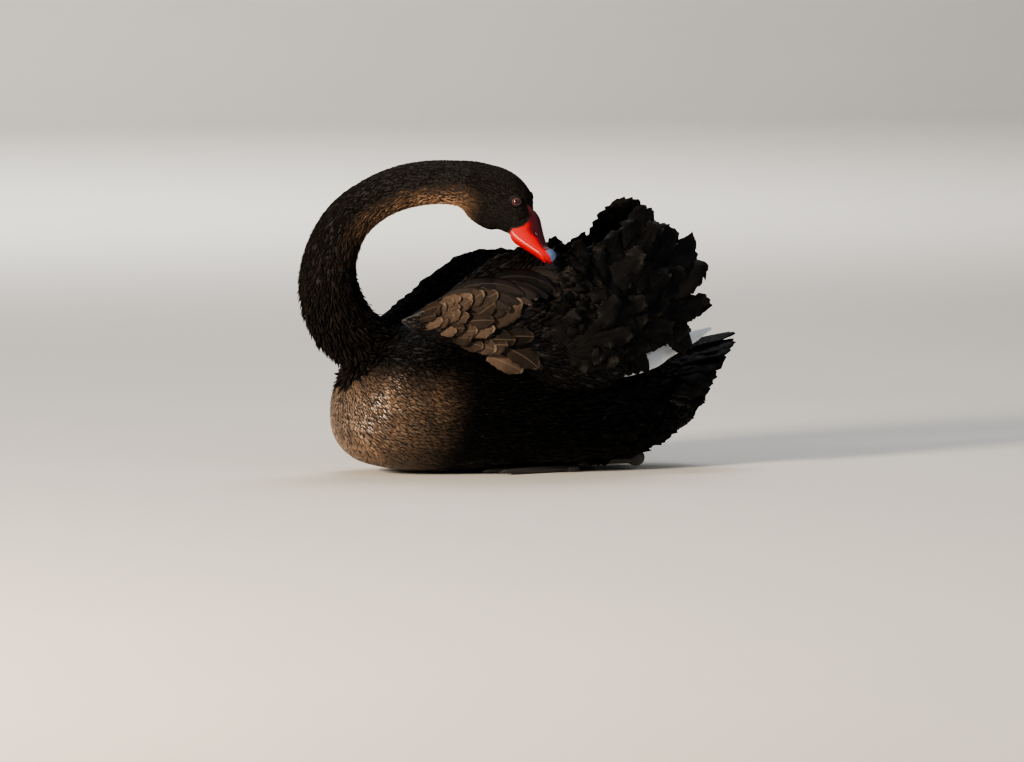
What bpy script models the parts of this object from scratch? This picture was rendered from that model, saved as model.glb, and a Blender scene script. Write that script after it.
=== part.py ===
"""Black swan, life size and still, resting on its belly with its feet tucked under.

The neck loops forward and back over the body, and the wings are half raised so
that the curled inner feathers stand up behind.  Metres, +Z up, the breast points
along -X, the bird's left side is at -Y, and Z is 0 at the flat under the belly.
"""

import math
import random

import bmesh
import bpy
import numpy as np
from mathutils import Matrix, Vector

# Clearance between neighbouring pieces, and the level that the bird rests on.
GAP = 0.0003
FLOOR = 0.0
SEED = 7

# Torso stations from breast to tail root: x, half width, bottom, top.
TORSO_STATIONS = (
    (-0.2510, 0.010, 0.072, 0.088),
    (-0.2440, 0.036, 0.046, 0.112),
    (-0.2290, 0.060, 0.024, 0.137),
    (-0.2020, 0.085, 0.008, 0.163),
    (-0.1580, 0.105, 0.000, 0.190),
    (-0.1000, 0.115, -0.003, 0.201),
    (-0.0200, 0.117, -0.003, 0.195),
    (0.0600, 0.110, -0.001, 0.180),
    (0.1300, 0.095, 0.007, 0.164),
    (0.1900, 0.073, 0.028, 0.155),
    (0.2350, 0.048, 0.058, 0.151),
    (0.2600, 0.026, 0.084, 0.147),
)
TORSO_RINGS = 22
TORSO_SIDES = 22
TORSO_WAIST = 0.46
TORSO_SQUARE_TOP = 2.7
TORSO_SQUARE_BOTTOM = 2.6
TAIL_CUT_X = 0.175

# Neck and head stations from breast to bill: x, y, z, half depth, half width,
# azimuth of the loop in degrees, roll of the crown towards the near side.
NECK_STATIONS = (
    (-0.1350, 0.004, 0.1180, 0.0400, 0.0410, -20, 0),
    (-0.2020, 0.000, 0.1660, 0.0420, 0.0430, -20, 0),
    (-0.2355, -0.003, 0.1970, 0.0450, 0.0425, -20, 0),
    (-0.2520, -0.005, 0.2360, 0.0440, 0.0410, -20, 0),
    (-0.2533, -0.008, 0.2700, 0.0400, 0.0380, -20, 0),
    (-0.2450, -0.014, 0.3030, 0.0370, 0.0355, -21, 0),
    (-0.2280, -0.021, 0.3320, 0.0345, 0.0330, -21, 0),
    (-0.2010, -0.031, 0.3550, 0.0325, 0.0310, -22, 0),
    (-0.1675, -0.041, 0.3707, 0.0323, 0.0300, -22, 0),
    (-0.1320, -0.050, 0.3775, 0.0319, 0.0290, -23, 2),
    (-0.1020, -0.060, 0.3775, 0.0317, 0.0280, -25, 4),
    (-0.0790, -0.068, 0.3733, 0.0355, 0.0285, -28, 6),
    (-0.0617, -0.0755, 0.3632, 0.0422, 0.0290, -31, 8),
    (-0.0443, -0.085, 0.3527, 0.0430, 0.0288, -34, 10),
    (-0.0328, -0.0926, 0.3430, 0.0377, 0.0265, -37, 10),
    (-0.0253, -0.0975, 0.3327, 0.0283, 0.0228, -40, 12),
    (-0.0202, -0.1018, 0.3266, 0.0219, 0.0182, -41, 16),
)
NECK_RINGS = 44
NECK_SIDES = 18
NECK_SPLITS = (15, 24, 31)

# Bill, from its base on the face to the nail.
BILL_BASE = (-0.0180, -0.1030, 0.3290)
BILL_TIP = (0.0110, -0.1440, 0.2826)
BILL_AZIMUTH = math.radians(-41)
BILL_ROLL = math.radians(22)
BILL_STEPS = 10
BILL_HALF_WIDTH = (
    (0.0, 0.0158), (0.15, 0.0150), (0.35, 0.0139), (0.8, 0.0134), (0.9, 0.0116), (1.0, 0.0030),
)
BILL_CULMEN = (
    (0.0, 0.0180), (0.14, 0.0168), (0.33, 0.0110), (0.53, 0.0052), (0.72, 0.0012), (0.82, 0.0036),
    (0.94, 0.0034), (1.0, -0.0020),
)
BILL_MOUTH = (
    (0.0, -0.0200), (0.12, -0.0206), (0.3, -0.0190), (0.55, -0.0151), (0.8, -0.0112), (1.0, -0.0106),
)
BILL_CHIN = (
    (0.0, -0.0240), (0.1, -0.0280), (0.2, -0.0288), (0.4, -0.0255), (0.64, -0.0208), (0.8, -0.0176),
    (1.0, -0.0150),
)
LOWER_BILL_SHARE = 0.93
LOWER_BILL_WIDTH = 0.88
NOSTRIL_AT = 0.42
NOSTRIL_SIZE = (0.0052, 0.0022, 0.0019)
NOSTRIL_ACROSS = 0.72
NOSTRIL_RISE = 0.55
NOSTRIL_LEAN = 0.8

# Eyes and lids.
EYE_RADIUS = 0.0062
EYE_STATION = 14.13
EYE_RISE = 0.0218
EYE_DEPTH = 0.0036
LID_RADIUS = 0.0066
LID_THICKNESS = 0.0012
LID_SIDES = 5
LID_STEPS = 12
# An eye looks mostly sideways, a little up and a little forwards.
EYE_GAZE = (0.95, 0.10, 0.22)

# Wing shell: a mid surface that bulges outwards, as |y| over x and z.
SHELL_RADIUS = 0.28
SHELL_LOW_RADIUS = 0.12
SHELL_CENTRE_Z = 0.18
SHELL_OFFSET = 0.130
SHELL_FRONT = (0.0, 0.16, 0.036)
SHELL_REAR = (0.05, 0.185, 0.045)

# Wing arm stations from shoulder to rear: x, bottom, top, thickness outwards
# and inwards of the mid surface.  The inner side sags by ARM_DROP times its
# thickness, down to where the wing grows out of the body.
ARM_STATIONS = (
    (-0.178, 0.200, 0.206, 0.001, 0.002),
    (-0.165, 0.193, 0.213, 0.004, 0.008),
    (-0.132, 0.184, 0.234, 0.008, 0.022),
    (-0.095, 0.176, 0.262, 0.010, 0.028),
    (-0.055, 0.158, 0.286, 0.011, 0.026),
    (-0.020, 0.136, 0.291, 0.011, 0.022),
    (0.015, 0.114, 0.290, 0.009, 0.016),
    (0.050, 0.108, 0.280, 0.008, 0.011),
    (0.085, 0.112, 0.256, 0.006, 0.008),
    (0.120, 0.134, 0.215, 0.003, 0.003),
)
ARM_DROP = 1.5
ARM_RINGS = 15
ARM_SIDES = 12

# Wing fan: the curled inner feathers spread about a centre in x and z.  Tip
# reaches are given against the feather's angle in degrees above the tail line.
FAN_CENTRE = (0.02, 0.16)
FAN_REACH = (
    (-14, 0.125), (-5, 0.135), (3, 0.160), (8, 0.190), (13, 0.215), (20, 0.231), (25, 0.236),
    (30, 0.252), (35, 0.230), (41, 0.238), (47, 0.240), (52, 0.239), (56, 0.198), (60, 0.160),
    (68, 0.148), (78, 0.136), (84, 0.130), (96, 0.118),
)
# Tiers from the long feathers out to the short covering ones: how many, highest
# and lowest angle, root reach, share of the tip reach, half width, lift at the
# tip, and how many cross sections each vane has.
FAN_TIERS = (
    (11, 86, 14, 0.085, 1.00, 0.0225, 0.001, 5),
    (9, 92, 0, 0.055, 0.74, 0.0195, 0.004, 4),
    (6, 97, -10, 0.026, 0.53, 0.0185, 0.004, 4),
)
FAN_TILT = math.radians(7)
FAN_SWAY = 5.0
FAN_CURL = 0.012
FAN_TWIST = math.radians(22)
FAN_WOBBLE = 1.5
ROOT_SHARE = 0.42
# The far, right wing sits a little further back and lower.
WING_SHIFTS = {-1: (0.0, 0.0, 0.0), 1: (0.015, 0.0, -0.009)}

# Scapulars along the top of the arm: first and last root in x and z, length,
# half width and the slope of the feathers in degrees.
SCAPULARS = 5
SCAPULAR_FROM = (-0.120, 0.222)
SCAPULAR_TO = (-0.005, 0.262)
SCAPULAR_LENGTH = 0.082
SCAPULAR_HALF_WIDTH = 0.0125
SCAPULAR_SLOPES = (31, 14)
SCAPULAR_SWAY = 3.0
SCAPULAR_LIFT = 0.003

# Quills: thickness, camber, and half widths along the vane as shares.
VANE_THICKNESS = 0.0010
VANE_CAMBER = 0.12
VANE_SHAPE = ((0.0, 0.40), (0.3, 0.88), (0.7, 1.0), (0.9, 0.86), (1.0, 0.45))
PRIMARY_SHAPE = ((0.0, 0.60), (0.4, 1.0), (0.8, 0.70), (1.0, 0.18))
VANE_PLACES = {4: (0.0, 0.42, 0.86, 1.0), 5: (0.0, 0.32, 0.66, 0.90, 1.0)}
ROOT_SINK = 0.003

# Hand and primaries: the core's stations as x, |y|, z, half height and half
# thickness, then the quills' shared root, their longest tip and their spacing.
HAND_STATIONS = (
    (0.000, 0.108, 0.138, 0.010, 0.006),
    (0.060, 0.106, 0.142, 0.014, 0.005),
    (0.110, 0.102, 0.143, 0.013, 0.004),
    (0.150, 0.094, 0.146, 0.007, 0.002),
)
PRIMARIES = 6
PRIMARY_ROOT = (0.060, 0.1045, 0.135)
PRIMARY_TIP = (0.252, 0.048, 0.181)
PRIMARY_STEP = (-0.0155, 0.0070, -0.0058)
PRIMARY_STACK = 0.0018
PRIMARY_HALF_WIDTH = 0.0095
PRIMARY_FACE = (0.3, 1.0, 0.55)
PRIMARY_TILT = 0.05
HAND_SIDES = 10

# Tail fan: places of the roots and tips from the middle quill (0) to the
# outermost (1), as x, |y|, z.
TAIL_QUILLS = 15
TAIL_ROOTS = ((0.0, 0.186, 0.000, 0.146), (0.5, 0.186, 0.032, 0.128), (1.0, 0.184, 0.056, 0.100))
TAIL_TIPS = (
    (0.0, 0.299, 0.000, 0.177),
    (0.35, 0.288, 0.034, 0.160),
    (0.65, 0.260, 0.064, 0.128),
    (1.0, 0.228, 0.090, 0.086),
)
TAIL_HALF_WIDTH = 0.0150
TAIL_BEND = 0.004
TAIL_TILT = 0.12
TAIL_LEAN = (-0.2, 0.15, 0.95)

# Legs and feet, tucked flat under the belly.
ANKLE = (0.150, 0.046, 0.016)
TOE_ROOT = (0.062, 0.050, 0.010)
SHANK_RADIUS = 0.0068
TOE_LENGTHS = (0.088, 0.112, 0.104)
TOE_ANGLES = (-15.0, 1.0, 16.0)
TOE_RADIUS = 0.0048
WEB_THICKNESS = 0.0024
CLAW_LENGTH = 0.010
CLAW_DROP = 0.0022
HIND_TOE_LENGTH = 0.020
WEB_SHARE = 0.90
PAD_SIZE = (0.011, 0.010, 0.0060)
KNOB_SIZE = (0.0125, 0.0095, 0.0110)

COLOURS = {
    "body": ((0.012, 0.011, 0.012, 1.0), 0.62, 0.0),
    "neck": ((0.020, 0.016, 0.015, 1.0), 0.70, 0.0),
    "wing": ((0.016, 0.014, 0.014, 1.0), 0.58, 0.0),
    "white_quill": ((0.80, 0.82, 0.84, 1.0), 0.55, 0.0),
    "bill": ((0.70, 0.035, 0.025, 1.0), 0.35, 0.0),
    "eye": ((0.45, 0.02, 0.02, 1.0), 0.08, 0.0),
    "leg": ((0.030, 0.028, 0.028, 1.0), 0.50, 0.0),
}


def clear_scene():
    """Removes everything that the startup scene holds."""
    for item in list(bpy.data.objects):
        bpy.data.objects.remove(item, do_unlink=True)


def material(name):
    """The named finish as a Principled BSDF, made once."""
    found = bpy.data.materials.get(name)
    if found:
        return found
    colour, roughness, metallic = COLOURS[name]
    made = bpy.data.materials.new(name)
    made.use_nodes = True
    shader = made.node_tree.nodes["Principled BSDF"]
    shader.inputs["Base Color"].default_value = colour
    shader.inputs["Roughness"].default_value = roughness
    shader.inputs["Metallic"].default_value = metallic
    made.diffuse_color = colour
    return made


def smooth_rows(rows, places):
    """Rows of a table at fractional row numbers, through a smooth curve."""
    table = np.array(rows, float)
    last = len(table) - 1
    slopes = np.gradient(table, axis=0)
    out = []
    for place in places:
        i = min(int(place), last - 1)
        t = place - i
        a = 2 * t**3 - 3 * t**2 + 1
        b = t**3 - 2 * t**2 + t
        c = 3 * t**2 - 2 * t**3
        d = t**3 - t**2
        out.append(a * table[i] + b * slopes[i] + c * table[i + 1] + d * slopes[i + 1])
    return np.array(out)


def profile(table, share):
    """A value at a share, through the smooth curve of a table of pairs."""
    return float(profile_row(table, share)[0])


def profile_row(table, share):
    """A table's values at a share, where its first column holds the shares."""
    shares = [row[0] for row in table]
    place = np.interp(share, shares, range(len(shares)))
    return smooth_rows(table, [place])[0][1:]


def unit(vector):
    """The vector at length 1."""
    return vector / np.linalg.norm(vector)


def mesh_object(name, bm, finish, smooth=True):
    """A linked object that owns the bmesh, with outward normals."""
    bm.normal_update()
    bmesh.ops.recalc_face_normals(bm, faces=bm.faces)
    if volume_of(bm.faces) < 0:
        bmesh.ops.reverse_faces(bm, faces=bm.faces)
    mesh = bpy.data.meshes.new(name)
    bm.to_mesh(mesh)
    bm.free()
    mesh.materials.append(material(finish))
    if smooth:
        mesh.shade_smooth()
        mesh.set_sharp_from_angle(angle=math.radians(50))
    made = bpy.data.objects.new(name, mesh)
    bpy.context.scene.collection.objects.link(made)
    return made


def loft(rings):
    """A closed bmesh bridged through rings of points, with a fan over each end."""
    bm = bmesh.new()
    loops = []
    for ring in rings:
        points = [bm.verts.new(Vector(point)) for point in ring]
        loops.append([bm.edges.new(pair) for pair in zip(points, points[1:] + points[:1])])
    for near, far in zip(loops, loops[1:]):
        bmesh.ops.bridge_loops(bm, edges=near + far)
    for end in (loops[0], loops[-1]):
        cap = bmesh.ops.edgeloop_fill(bm, edges=end)
        bmesh.ops.poke(bm, faces=cap["faces"])
    return bm


def evaluated_bmesh(item):
    """The object's mesh with its modifiers, in world space."""
    graph = bpy.context.evaluated_depsgraph_get()
    graph.update()
    bm = bmesh.new()
    bm.from_object(item, graph)
    bm.transform(item.matrix_world)
    return bm


def volume_of(faces):
    """Signed volume inside a set of faces."""
    total = 0.0
    for face in faces:
        first = face.verts[0].co
        for a, b in zip(face.verts[1:], face.verts[2:]):
            total += first.dot(a.co.cross(b.co)) / 6
    return total


def keep_largest(bm):
    """Deletes every closed surface but the one that holds most."""
    left = set(bm.faces)
    groups = []
    while left:
        stack = [left.pop()]
        group = list(stack)
        while stack:
            for edge in stack.pop().edges:
                for face in edge.link_faces:
                    if face in left:
                        left.remove(face)
                        stack.append(face)
                        group.append(face)
        groups.append(group)
    groups.sort(key=volume_of)
    spare = [face for group in groups[:-1] for face in group]
    bmesh.ops.delete(bm, geom=spare, context="FACES")


def bake(item):
    """Applies the object's modifiers and keeps its largest closed surface."""
    bm = evaluated_bmesh(item)
    keep_largest(bm)
    bmesh.ops.triangulate(bm, faces=bm.faces)
    bm.to_mesh(item.data)
    bm.free()
    item.modifiers.clear()


def boolean(item, operation, other, solver="EXACT"):
    """Cuts, or joins, with another object and removes that object."""
    cut = item.modifiers.new(operation.lower(), "BOOLEAN")
    cut.operation = operation
    cut.solver = solver
    cut.object = other
    bake(item)
    bpy.data.objects.remove(other, do_unlink=True)


def join_all(item, pieces, solver="MANIFOLD"):
    """Fuses closed pieces into the object by one union on a collection."""
    group = bpy.data.collections.new("pieces_of_" + item.name)
    bpy.context.scene.collection.children.link(group)
    for piece in pieces:
        bpy.context.scene.collection.objects.unlink(piece)
        group.objects.link(piece)
    union = item.modifiers.new("union", "BOOLEAN")
    union.operation = "UNION"
    union.operand_type = "COLLECTION"
    union.solver = solver
    union.collection = group
    bake(item)
    for piece in pieces:
        bpy.data.objects.remove(piece, do_unlink=True)
    bpy.data.collections.remove(group)


def grown_copy(item, distance=GAP):
    """A helper copy of the object, swollen by the clearance."""
    bm = evaluated_bmesh(item)
    bm.normal_update()
    shifts = [(v, v.normal * distance * min(3.0, v.calc_shell_factor())) for v in bm.verts]
    for vertex, shift in shifts:
        vertex.co += shift
    return mesh_object(item.name + "_clear", bm, "body")


def cut_clear(item, other):
    """Cuts the object back so that it meets the other face to face."""
    boolean(item, "DIFFERENCE", grown_copy(other))


def cut_pocket(item, other):
    """Cuts a pocket into the object, as big as the hull round the other."""
    shape = bmesh.new()
    points = [shape.verts.new(v.co) for v in other.data.vertices]
    made = bmesh.ops.convex_hull(shape, input=points, use_existing_faces=False)
    spare = {g for g in made["geom_interior"] + made["geom_unused"] if isinstance(g, bmesh.types.BMVert)}
    bmesh.ops.delete(shape, geom=list(spare), context="VERTS")
    hull_copy = mesh_object("pocket", shape, "body")
    cutter = grown_copy(hull_copy)
    bpy.data.objects.remove(hull_copy, do_unlink=True)
    boolean(item, "DIFFERENCE", cutter, "MANIFOLD")


def cut_plane(bm, point, normal):
    """Removes what lies on the normal's side of a plane, and closes the cut."""
    geometry = list(bm.verts) + list(bm.edges) + list(bm.faces)
    cut = bmesh.ops.bisect_plane(
        bm, geom=geometry, plane_co=point, plane_no=normal, clear_outer=True, dist=1e-7
    )
    edges = [g for g in cut["geom_cut"] if isinstance(g, bmesh.types.BMEdge)]
    bmesh.ops.triangle_fill(bm, use_beauty=True, use_dissolve=False, edges=edges)


def trim(item, point, normal):
    """Cuts away what lies on the normal's side of a plane."""
    bm = evaluated_bmesh(item)
    cut_plane(bm, point, normal)
    keep_largest(bm)
    bmesh.ops.triangulate(bm, faces=bm.faces)
    bm.to_mesh(item.data)
    bm.free()


def torso_ring(x, half_width, bottom, top):
    """One cross section of the hull: rounded above, flatter below."""
    middle = bottom + TORSO_WAIST * (top - bottom)
    ring = []
    for i in range(TORSO_SIDES):
        angle = 2 * math.pi * i / TORSO_SIDES
        across, rise = math.cos(angle), math.sin(angle)
        power = 2 / (TORSO_SQUARE_TOP if rise > 0 else TORSO_SQUARE_BOTTOM)
        height = top - middle if rise > 0 else middle - bottom
        y = half_width * math.copysign(abs(across) ** power, across)
        z = middle + height * math.copysign(abs(rise) ** power, rise)
        ring.append((x, y, z))
    return ring


def hull():
    """The whole body from breast to tail root as one closed bmesh."""
    places = np.linspace(0, 1, TORSO_RINGS) ** 1.15 * (len(TORSO_STATIONS) - 1)
    return loft([torso_ring(*row) for row in smooth_rows(TORSO_STATIONS, places)])


def make_torso():
    """Breast, flanks, back and belly, flat where the bird rests."""
    bm = hull()
    cut_plane(bm, (TAIL_CUT_X, 0, 0), (1, 0, 0))
    cut_plane(bm, (0, 0, FLOOR), (0, 0, -1))
    return mesh_object("torso", bm, "body")


def neck_frames():
    """Rings of the neck and head: centre, dorsal and lateral axes, half sizes."""
    places = np.linspace(0, len(NECK_STATIONS) - 1, NECK_RINGS)
    rows = smooth_rows(NECK_STATIONS, places)
    return [neck_frame(rows, i) for i in range(len(rows))]


def neck_frame(rows, i):
    """Centre, tangent, dorsal and lateral axes and half sizes of one ring."""
    before, after = rows[max(i - 1, 0)], rows[min(i + 1, len(rows) - 1)]
    tangent = unit(after[:3] - before[:3])
    azimuth = math.radians(rows[i][5])
    side = np.array((math.sin(azimuth), -math.cos(azimuth), 0))
    lateral = unit(side - side.dot(tangent) * tangent)
    dorsal = np.cross(lateral, tangent)
    roll = math.radians(rows[i][6])
    rolled_dorsal = dorsal * math.cos(roll) + lateral * math.sin(roll)
    rolled_lateral = lateral * math.cos(roll) - dorsal * math.sin(roll)
    return rows[i][:3], tangent, rolled_dorsal, rolled_lateral, rows[i][3], rows[i][4]


def neck_ring(frame):
    """An oval ring of points across the neck or head."""
    centre, _, dorsal, lateral, depth, width = frame
    angles = [2 * math.pi * i / NECK_SIDES for i in range(NECK_SIDES)]
    return [centre + dorsal * depth * math.cos(a) + lateral * width * math.sin(a) for a in angles]


def neck_part(name, frames, first, last, finish):
    """A stretch of neck or head between two rings, short of the next by the gap."""
    rings = [neck_ring(frame) for frame in frames[first : last + 1]]
    tangent = frames[last][1]
    rings[-1] = [point - tangent * GAP for point in rings[-1]]
    return mesh_object(name, loft(rings), finish)


def bill_frame():
    """Base, forward, dorsal and lateral axes and length of the bill."""
    base = np.array(BILL_BASE)
    reach = np.array(BILL_TIP) - base
    forward = unit(reach)
    side = np.array((math.sin(BILL_AZIMUTH), -math.cos(BILL_AZIMUTH), 0))
    lateral = unit(side - side.dot(forward) * forward)
    dorsal = np.cross(lateral, forward)
    turn = Matrix.Rotation(-BILL_ROLL, 3, Vector(forward))
    dorsal = np.array(turn @ Vector(dorsal))
    lateral = np.array(turn @ Vector(lateral))
    return base, forward, dorsal, lateral, float(np.linalg.norm(reach))


def bill_half(name, edge, middle, length_share, width_share, gap_sign):
    """One half of the bill: its mouth edge is flat and its outer side is domed."""
    base, forward, dorsal, lateral, length = bill_frame()
    rings = []
    for step in range(BILL_STEPS + 1):
        share = math.sin(0.5 * math.pi * step / BILL_STEPS)
        x = GAP + (length * length_share - GAP) * share
        width = profile(BILL_HALF_WIDTH, share) * width_share
        flat = profile(edge, share * length_share) + gap_sign * GAP
        dome = profile(middle, share) - flat
        ring = []
        for i in range(9):
            angle = math.pi * i / 8
            rise = flat + dome * math.sin(angle) ** 0.85
            ring.append(base + forward * x + lateral * width * math.cos(angle) + dorsal * rise)
        for i in range(1, 4):
            across = -1 + i / 2
            ring.append(base + forward * x + lateral * width * across + dorsal * flat)
        rings.append(ring)
    return mesh_object(name, loft(rings), "bill")


def ellipsoid(name, centre, axes, radii, finish="body", segments=14, rings=8):
    """A closed ellipsoid on three given axes."""
    bm = bmesh.new()
    bmesh.ops.create_uvsphere(bm, u_segments=segments, v_segments=rings, radius=1)
    for vertex in bm.verts:
        local = vertex.co.copy()
        place = np.array(centre, float)
        for axis, radius, value in zip(axes, radii, local):
            place = place + np.array(axis) * radius * value
        vertex.co = Vector(place)
    return mesh_object(name, bm, finish)


def make_bill():
    """Upper and lower bill, with a nostril cut into each side of the upper one."""
    upper = bill_half("bill_upper", BILL_MOUTH, BILL_CULMEN, 1.0, 1.0, 1)
    bill_half("bill_lower", BILL_MOUTH, BILL_CHIN, LOWER_BILL_SHARE, LOWER_BILL_WIDTH, -1)
    base, forward, dorsal, lateral, length = bill_frame()
    across = NOSTRIL_ACROSS * profile(BILL_HALF_WIDTH, NOSTRIL_AT)
    rise = NOSTRIL_RISE * profile(BILL_CULMEN, NOSTRIL_AT)
    for side in (-1, 1):
        outer = lateral * side
        centre = base + forward * length * NOSTRIL_AT + outer * across + dorsal * rise
        axes = (forward, unit(outer + dorsal * NOSTRIL_LEAN), unit(dorsal - outer * NOSTRIL_LEAN))
        boolean(upper, "DIFFERENCE", ellipsoid("nostril", centre, axes, NOSTRIL_SIZE))


def eye_place(side):
    """Centre and outward axis of an eye, with the ring's axes about it."""
    rows = smooth_rows(NECK_STATIONS, [EYE_STATION - 0.5, EYE_STATION, EYE_STATION + 0.5])
    centre, tangent, dorsal, lateral, depth, width = neck_frame(rows, 1)
    across = width * math.sqrt(1 - (EYE_RISE / depth) ** 2)
    sideways, upwards, forwards = EYE_GAZE
    outward = unit(lateral * side * sideways + dorsal * upwards + tangent * forwards)
    surface = centre + dorsal * EYE_RISE + lateral * side * across
    return surface - outward * EYE_DEPTH, outward, tangent, dorsal


def lid_ring(name, side):
    """The raised rim of the lids round one eye: a small circle spun about it."""
    centre, outward, tangent, _ = eye_place(side)
    along = unit(tangent - tangent.dot(outward) * outward)
    middle = Vector(centre + outward * EYE_DEPTH)
    bm = bmesh.new()
    section = bmesh.ops.create_circle(bm, segments=LID_SIDES, radius=LID_THICKNESS)["verts"]
    for vertex in section:
        across, up, _ = vertex.co
        vertex.co = middle + Vector(along) * (LID_RADIUS + across) + Vector(outward) * up
    bmesh.ops.spin(
        bm, geom=list(bm.edges) + section, cent=middle, axis=Vector(outward), dvec=(0, 0, 0),
        angle=2 * math.pi, steps=LID_STEPS, use_merge=True,
    )
    return mesh_object(name, bm, "neck")


def make_head(frames):
    """Head from the nape to the face, with lids and eye sockets, and the eyes."""
    rings = [neck_ring(frame) for frame in frames[NECK_SPLITS[2] :]]
    bm = loft(rings)
    base, forward = bill_frame()[:2]
    cut_plane(bm, Vector(base), Vector(forward))
    head = mesh_object("head", bm, "neck")
    names = {1: "right", -1: "left"}
    join_all(head, [lid_ring("lid_" + names[side], side) for side in (1, -1)])
    for side in (1, -1):
        centre, outward, tangent, _ = eye_place(side)
        axes = (tangent, np.cross(outward, tangent), outward)
        axes = tuple(unit(axis) for axis in axes)
        socket = ellipsoid("socket", centre, axes, (EYE_RADIUS + GAP,) * 3, "eye", 16, 10)
        boolean(head, "DIFFERENCE", socket)
        ellipsoid("eye_" + names[side], centre, axes, (EYE_RADIUS,) * 3, "eye", 12, 8)
    return head


def make_neck(torso):
    """Lower, middle and upper neck, cut where the neck leaves the breast."""
    frames = neck_frames()
    first, second, third = NECK_SPLITS
    lower = neck_part("neck_lower", frames, 0, first, "neck")
    cut_clear(lower, torso)
    neck_part("neck_middle", frames, first, second, "neck")
    neck_part("neck_upper", frames, second, third, "neck")
    return frames


def shell_reach(x, z):
    """How far the wing's mid surface stands out from the bird's middle plane."""
    radius = SHELL_RADIUS if z > SHELL_CENTRE_Z else SHELL_LOW_RADIUS
    arc = math.sqrt(radius**2 - (z - SHELL_CENTRE_Z) ** 2) - radius
    front_from, front_span, front_drop = SHELL_FRONT
    rear_from, rear_span, rear_drop = SHELL_REAR
    ahead = max(0.0, front_from - x) / front_span
    behind = max(0.0, x - rear_from) / rear_span
    return SHELL_OFFSET + arc - front_drop * ahead**2 - rear_drop * behind**2


def shell_normal(x, z, side):
    """Outward normal of the wing's mid surface."""
    step = 0.002
    slope_x = (shell_reach(x + step, z) - shell_reach(x - step, z)) / (2 * step)
    slope_z = (shell_reach(x, z + step) - shell_reach(x, z - step)) / (2 * step)
    return unit(np.array((-slope_x, side, -slope_z)))


def shell_point(x, z, side, lift=0.0):
    """A point on the wing's mid surface, or lifted from it."""
    return np.array((x, side * shell_reach(x, z), z)) + shell_normal(x, z, side) * lift


def arm_bulge(x, z):
    """How far the arm's outer face stands out from the mid surface."""
    stations = [row[0] for row in ARM_STATIONS]
    if not stations[0] < x < stations[-1]:
        return 0.0
    place = np.interp(x, stations, range(len(stations)))
    _, bottom, top, outer, _ = smooth_rows(ARM_STATIONS, [place])[0]
    share = (z - bottom) / (top - bottom)
    return outer * math.sqrt(max(0.0, 1 - (2 * share - 1) ** 2))


def arm_ring(row, side):
    """A lens-shaped section of the wing arm, from its lower to its upper edge."""
    x, bottom, top, outer, inner = row
    ring = []
    for i in range(ARM_SIDES):
        angle = 2 * math.pi * i / ARM_SIDES
        z = 0.5 * (bottom + top) - 0.5 * (top - bottom) * math.cos(angle)
        thick = outer if angle < math.pi else inner
        z += min(0.0, ARM_DROP * inner * math.sin(angle))
        ring.append(shell_point(x, z, side, thick * math.sin(angle)))
    return ring


def make_arm(name, side):
    """The fleshy part of the raised wing, with its coverts' bulk."""
    places = np.linspace(0, len(ARM_STATIONS) - 1, ARM_RINGS)
    rows = smooth_rows(ARM_STATIONS, places)
    return mesh_object(name, loft([arm_ring(row, side) for row in rows]), "wing")


def vane(centres, across, normals, half_widths):
    """A closed thin feather, split into triangles alike on both faces."""
    bm = bmesh.new()
    rows = []
    for centre, side, normal, width in zip(centres, across, normals, half_widths):
        sink = normal * VANE_CAMBER * width
        half = normal * VANE_THICKNESS / 2
        left = centre - side * width - sink
        right = centre + side * width - sink
        points = (left + half, centre + half, right + half, right - half, centre - half, left - half)
        rows.append([bm.verts.new(Vector(point)) for point in points])
    for near, far in zip(rows, rows[1:]):
        for a, b in ((1, 0), (1, 2), (4, 3), (4, 5), (2, 3), (5, 0)):
            bm.faces.new((near[a], near[b], far[b]))
            bm.faces.new((near[a], far[b], far[a]))
    for row in (rows[0], rows[-1]):
        for a, b, c in ((0, 1, 4), (0, 4, 5), (1, 2, 3), (1, 3, 4)):
            bm.faces.new((row[a], row[b], row[c]))
    return bm


def laid_vane(name, centres, normals, downs, half_width, tilt, twist, finish, shape=VANE_SHAPE):
    """A vane along given points, its lower edge raised by the tilt, twisted at the tip."""
    sides, faces, widths = [], [], []
    last = len(centres) - 1
    for i, share in enumerate(VANE_PLACES[len(centres)]):
        along = unit(centres[min(i + 1, last)] - centres[max(i - 1, 0)])
        normal = unit(normals[i] - normals[i].dot(along) * along)
        side = np.cross(normal, along)
        side = side if side.dot(downs[i]) > 0 else -side
        turn = tilt + twist * share**3
        sides.append(side * math.cos(turn) + normal * math.sin(turn))
        faces.append(normal * math.cos(turn) - side * math.sin(turn))
        widths.append(half_width * profile(shape, share))
    return mesh_object(name, vane(centres, sides, faces, widths), finish)


def wing_path(start, slope, length, sway, side, root_sink, tip_lift, sections):
    """Points and normals of a vane that leaves a place on the wing at a slope."""
    centres, normals, downs = [], [], []
    for share in VANE_PLACES[sections]:
        angle = math.radians(slope + sway * share)
        x = start[0] + length * share * math.cos(angle)
        z = start[1] + length * share * math.sin(angle)
        lift = arm_bulge(x, z) - root_sink * (1 - share) + tip_lift * share
        centres.append(shell_point(x, z, side, lift))
        normals.append(shell_normal(x, z, side))
        downs.append(np.array((math.sin(angle), 0, -math.cos(angle))))
    return centres, normals, downs


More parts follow.
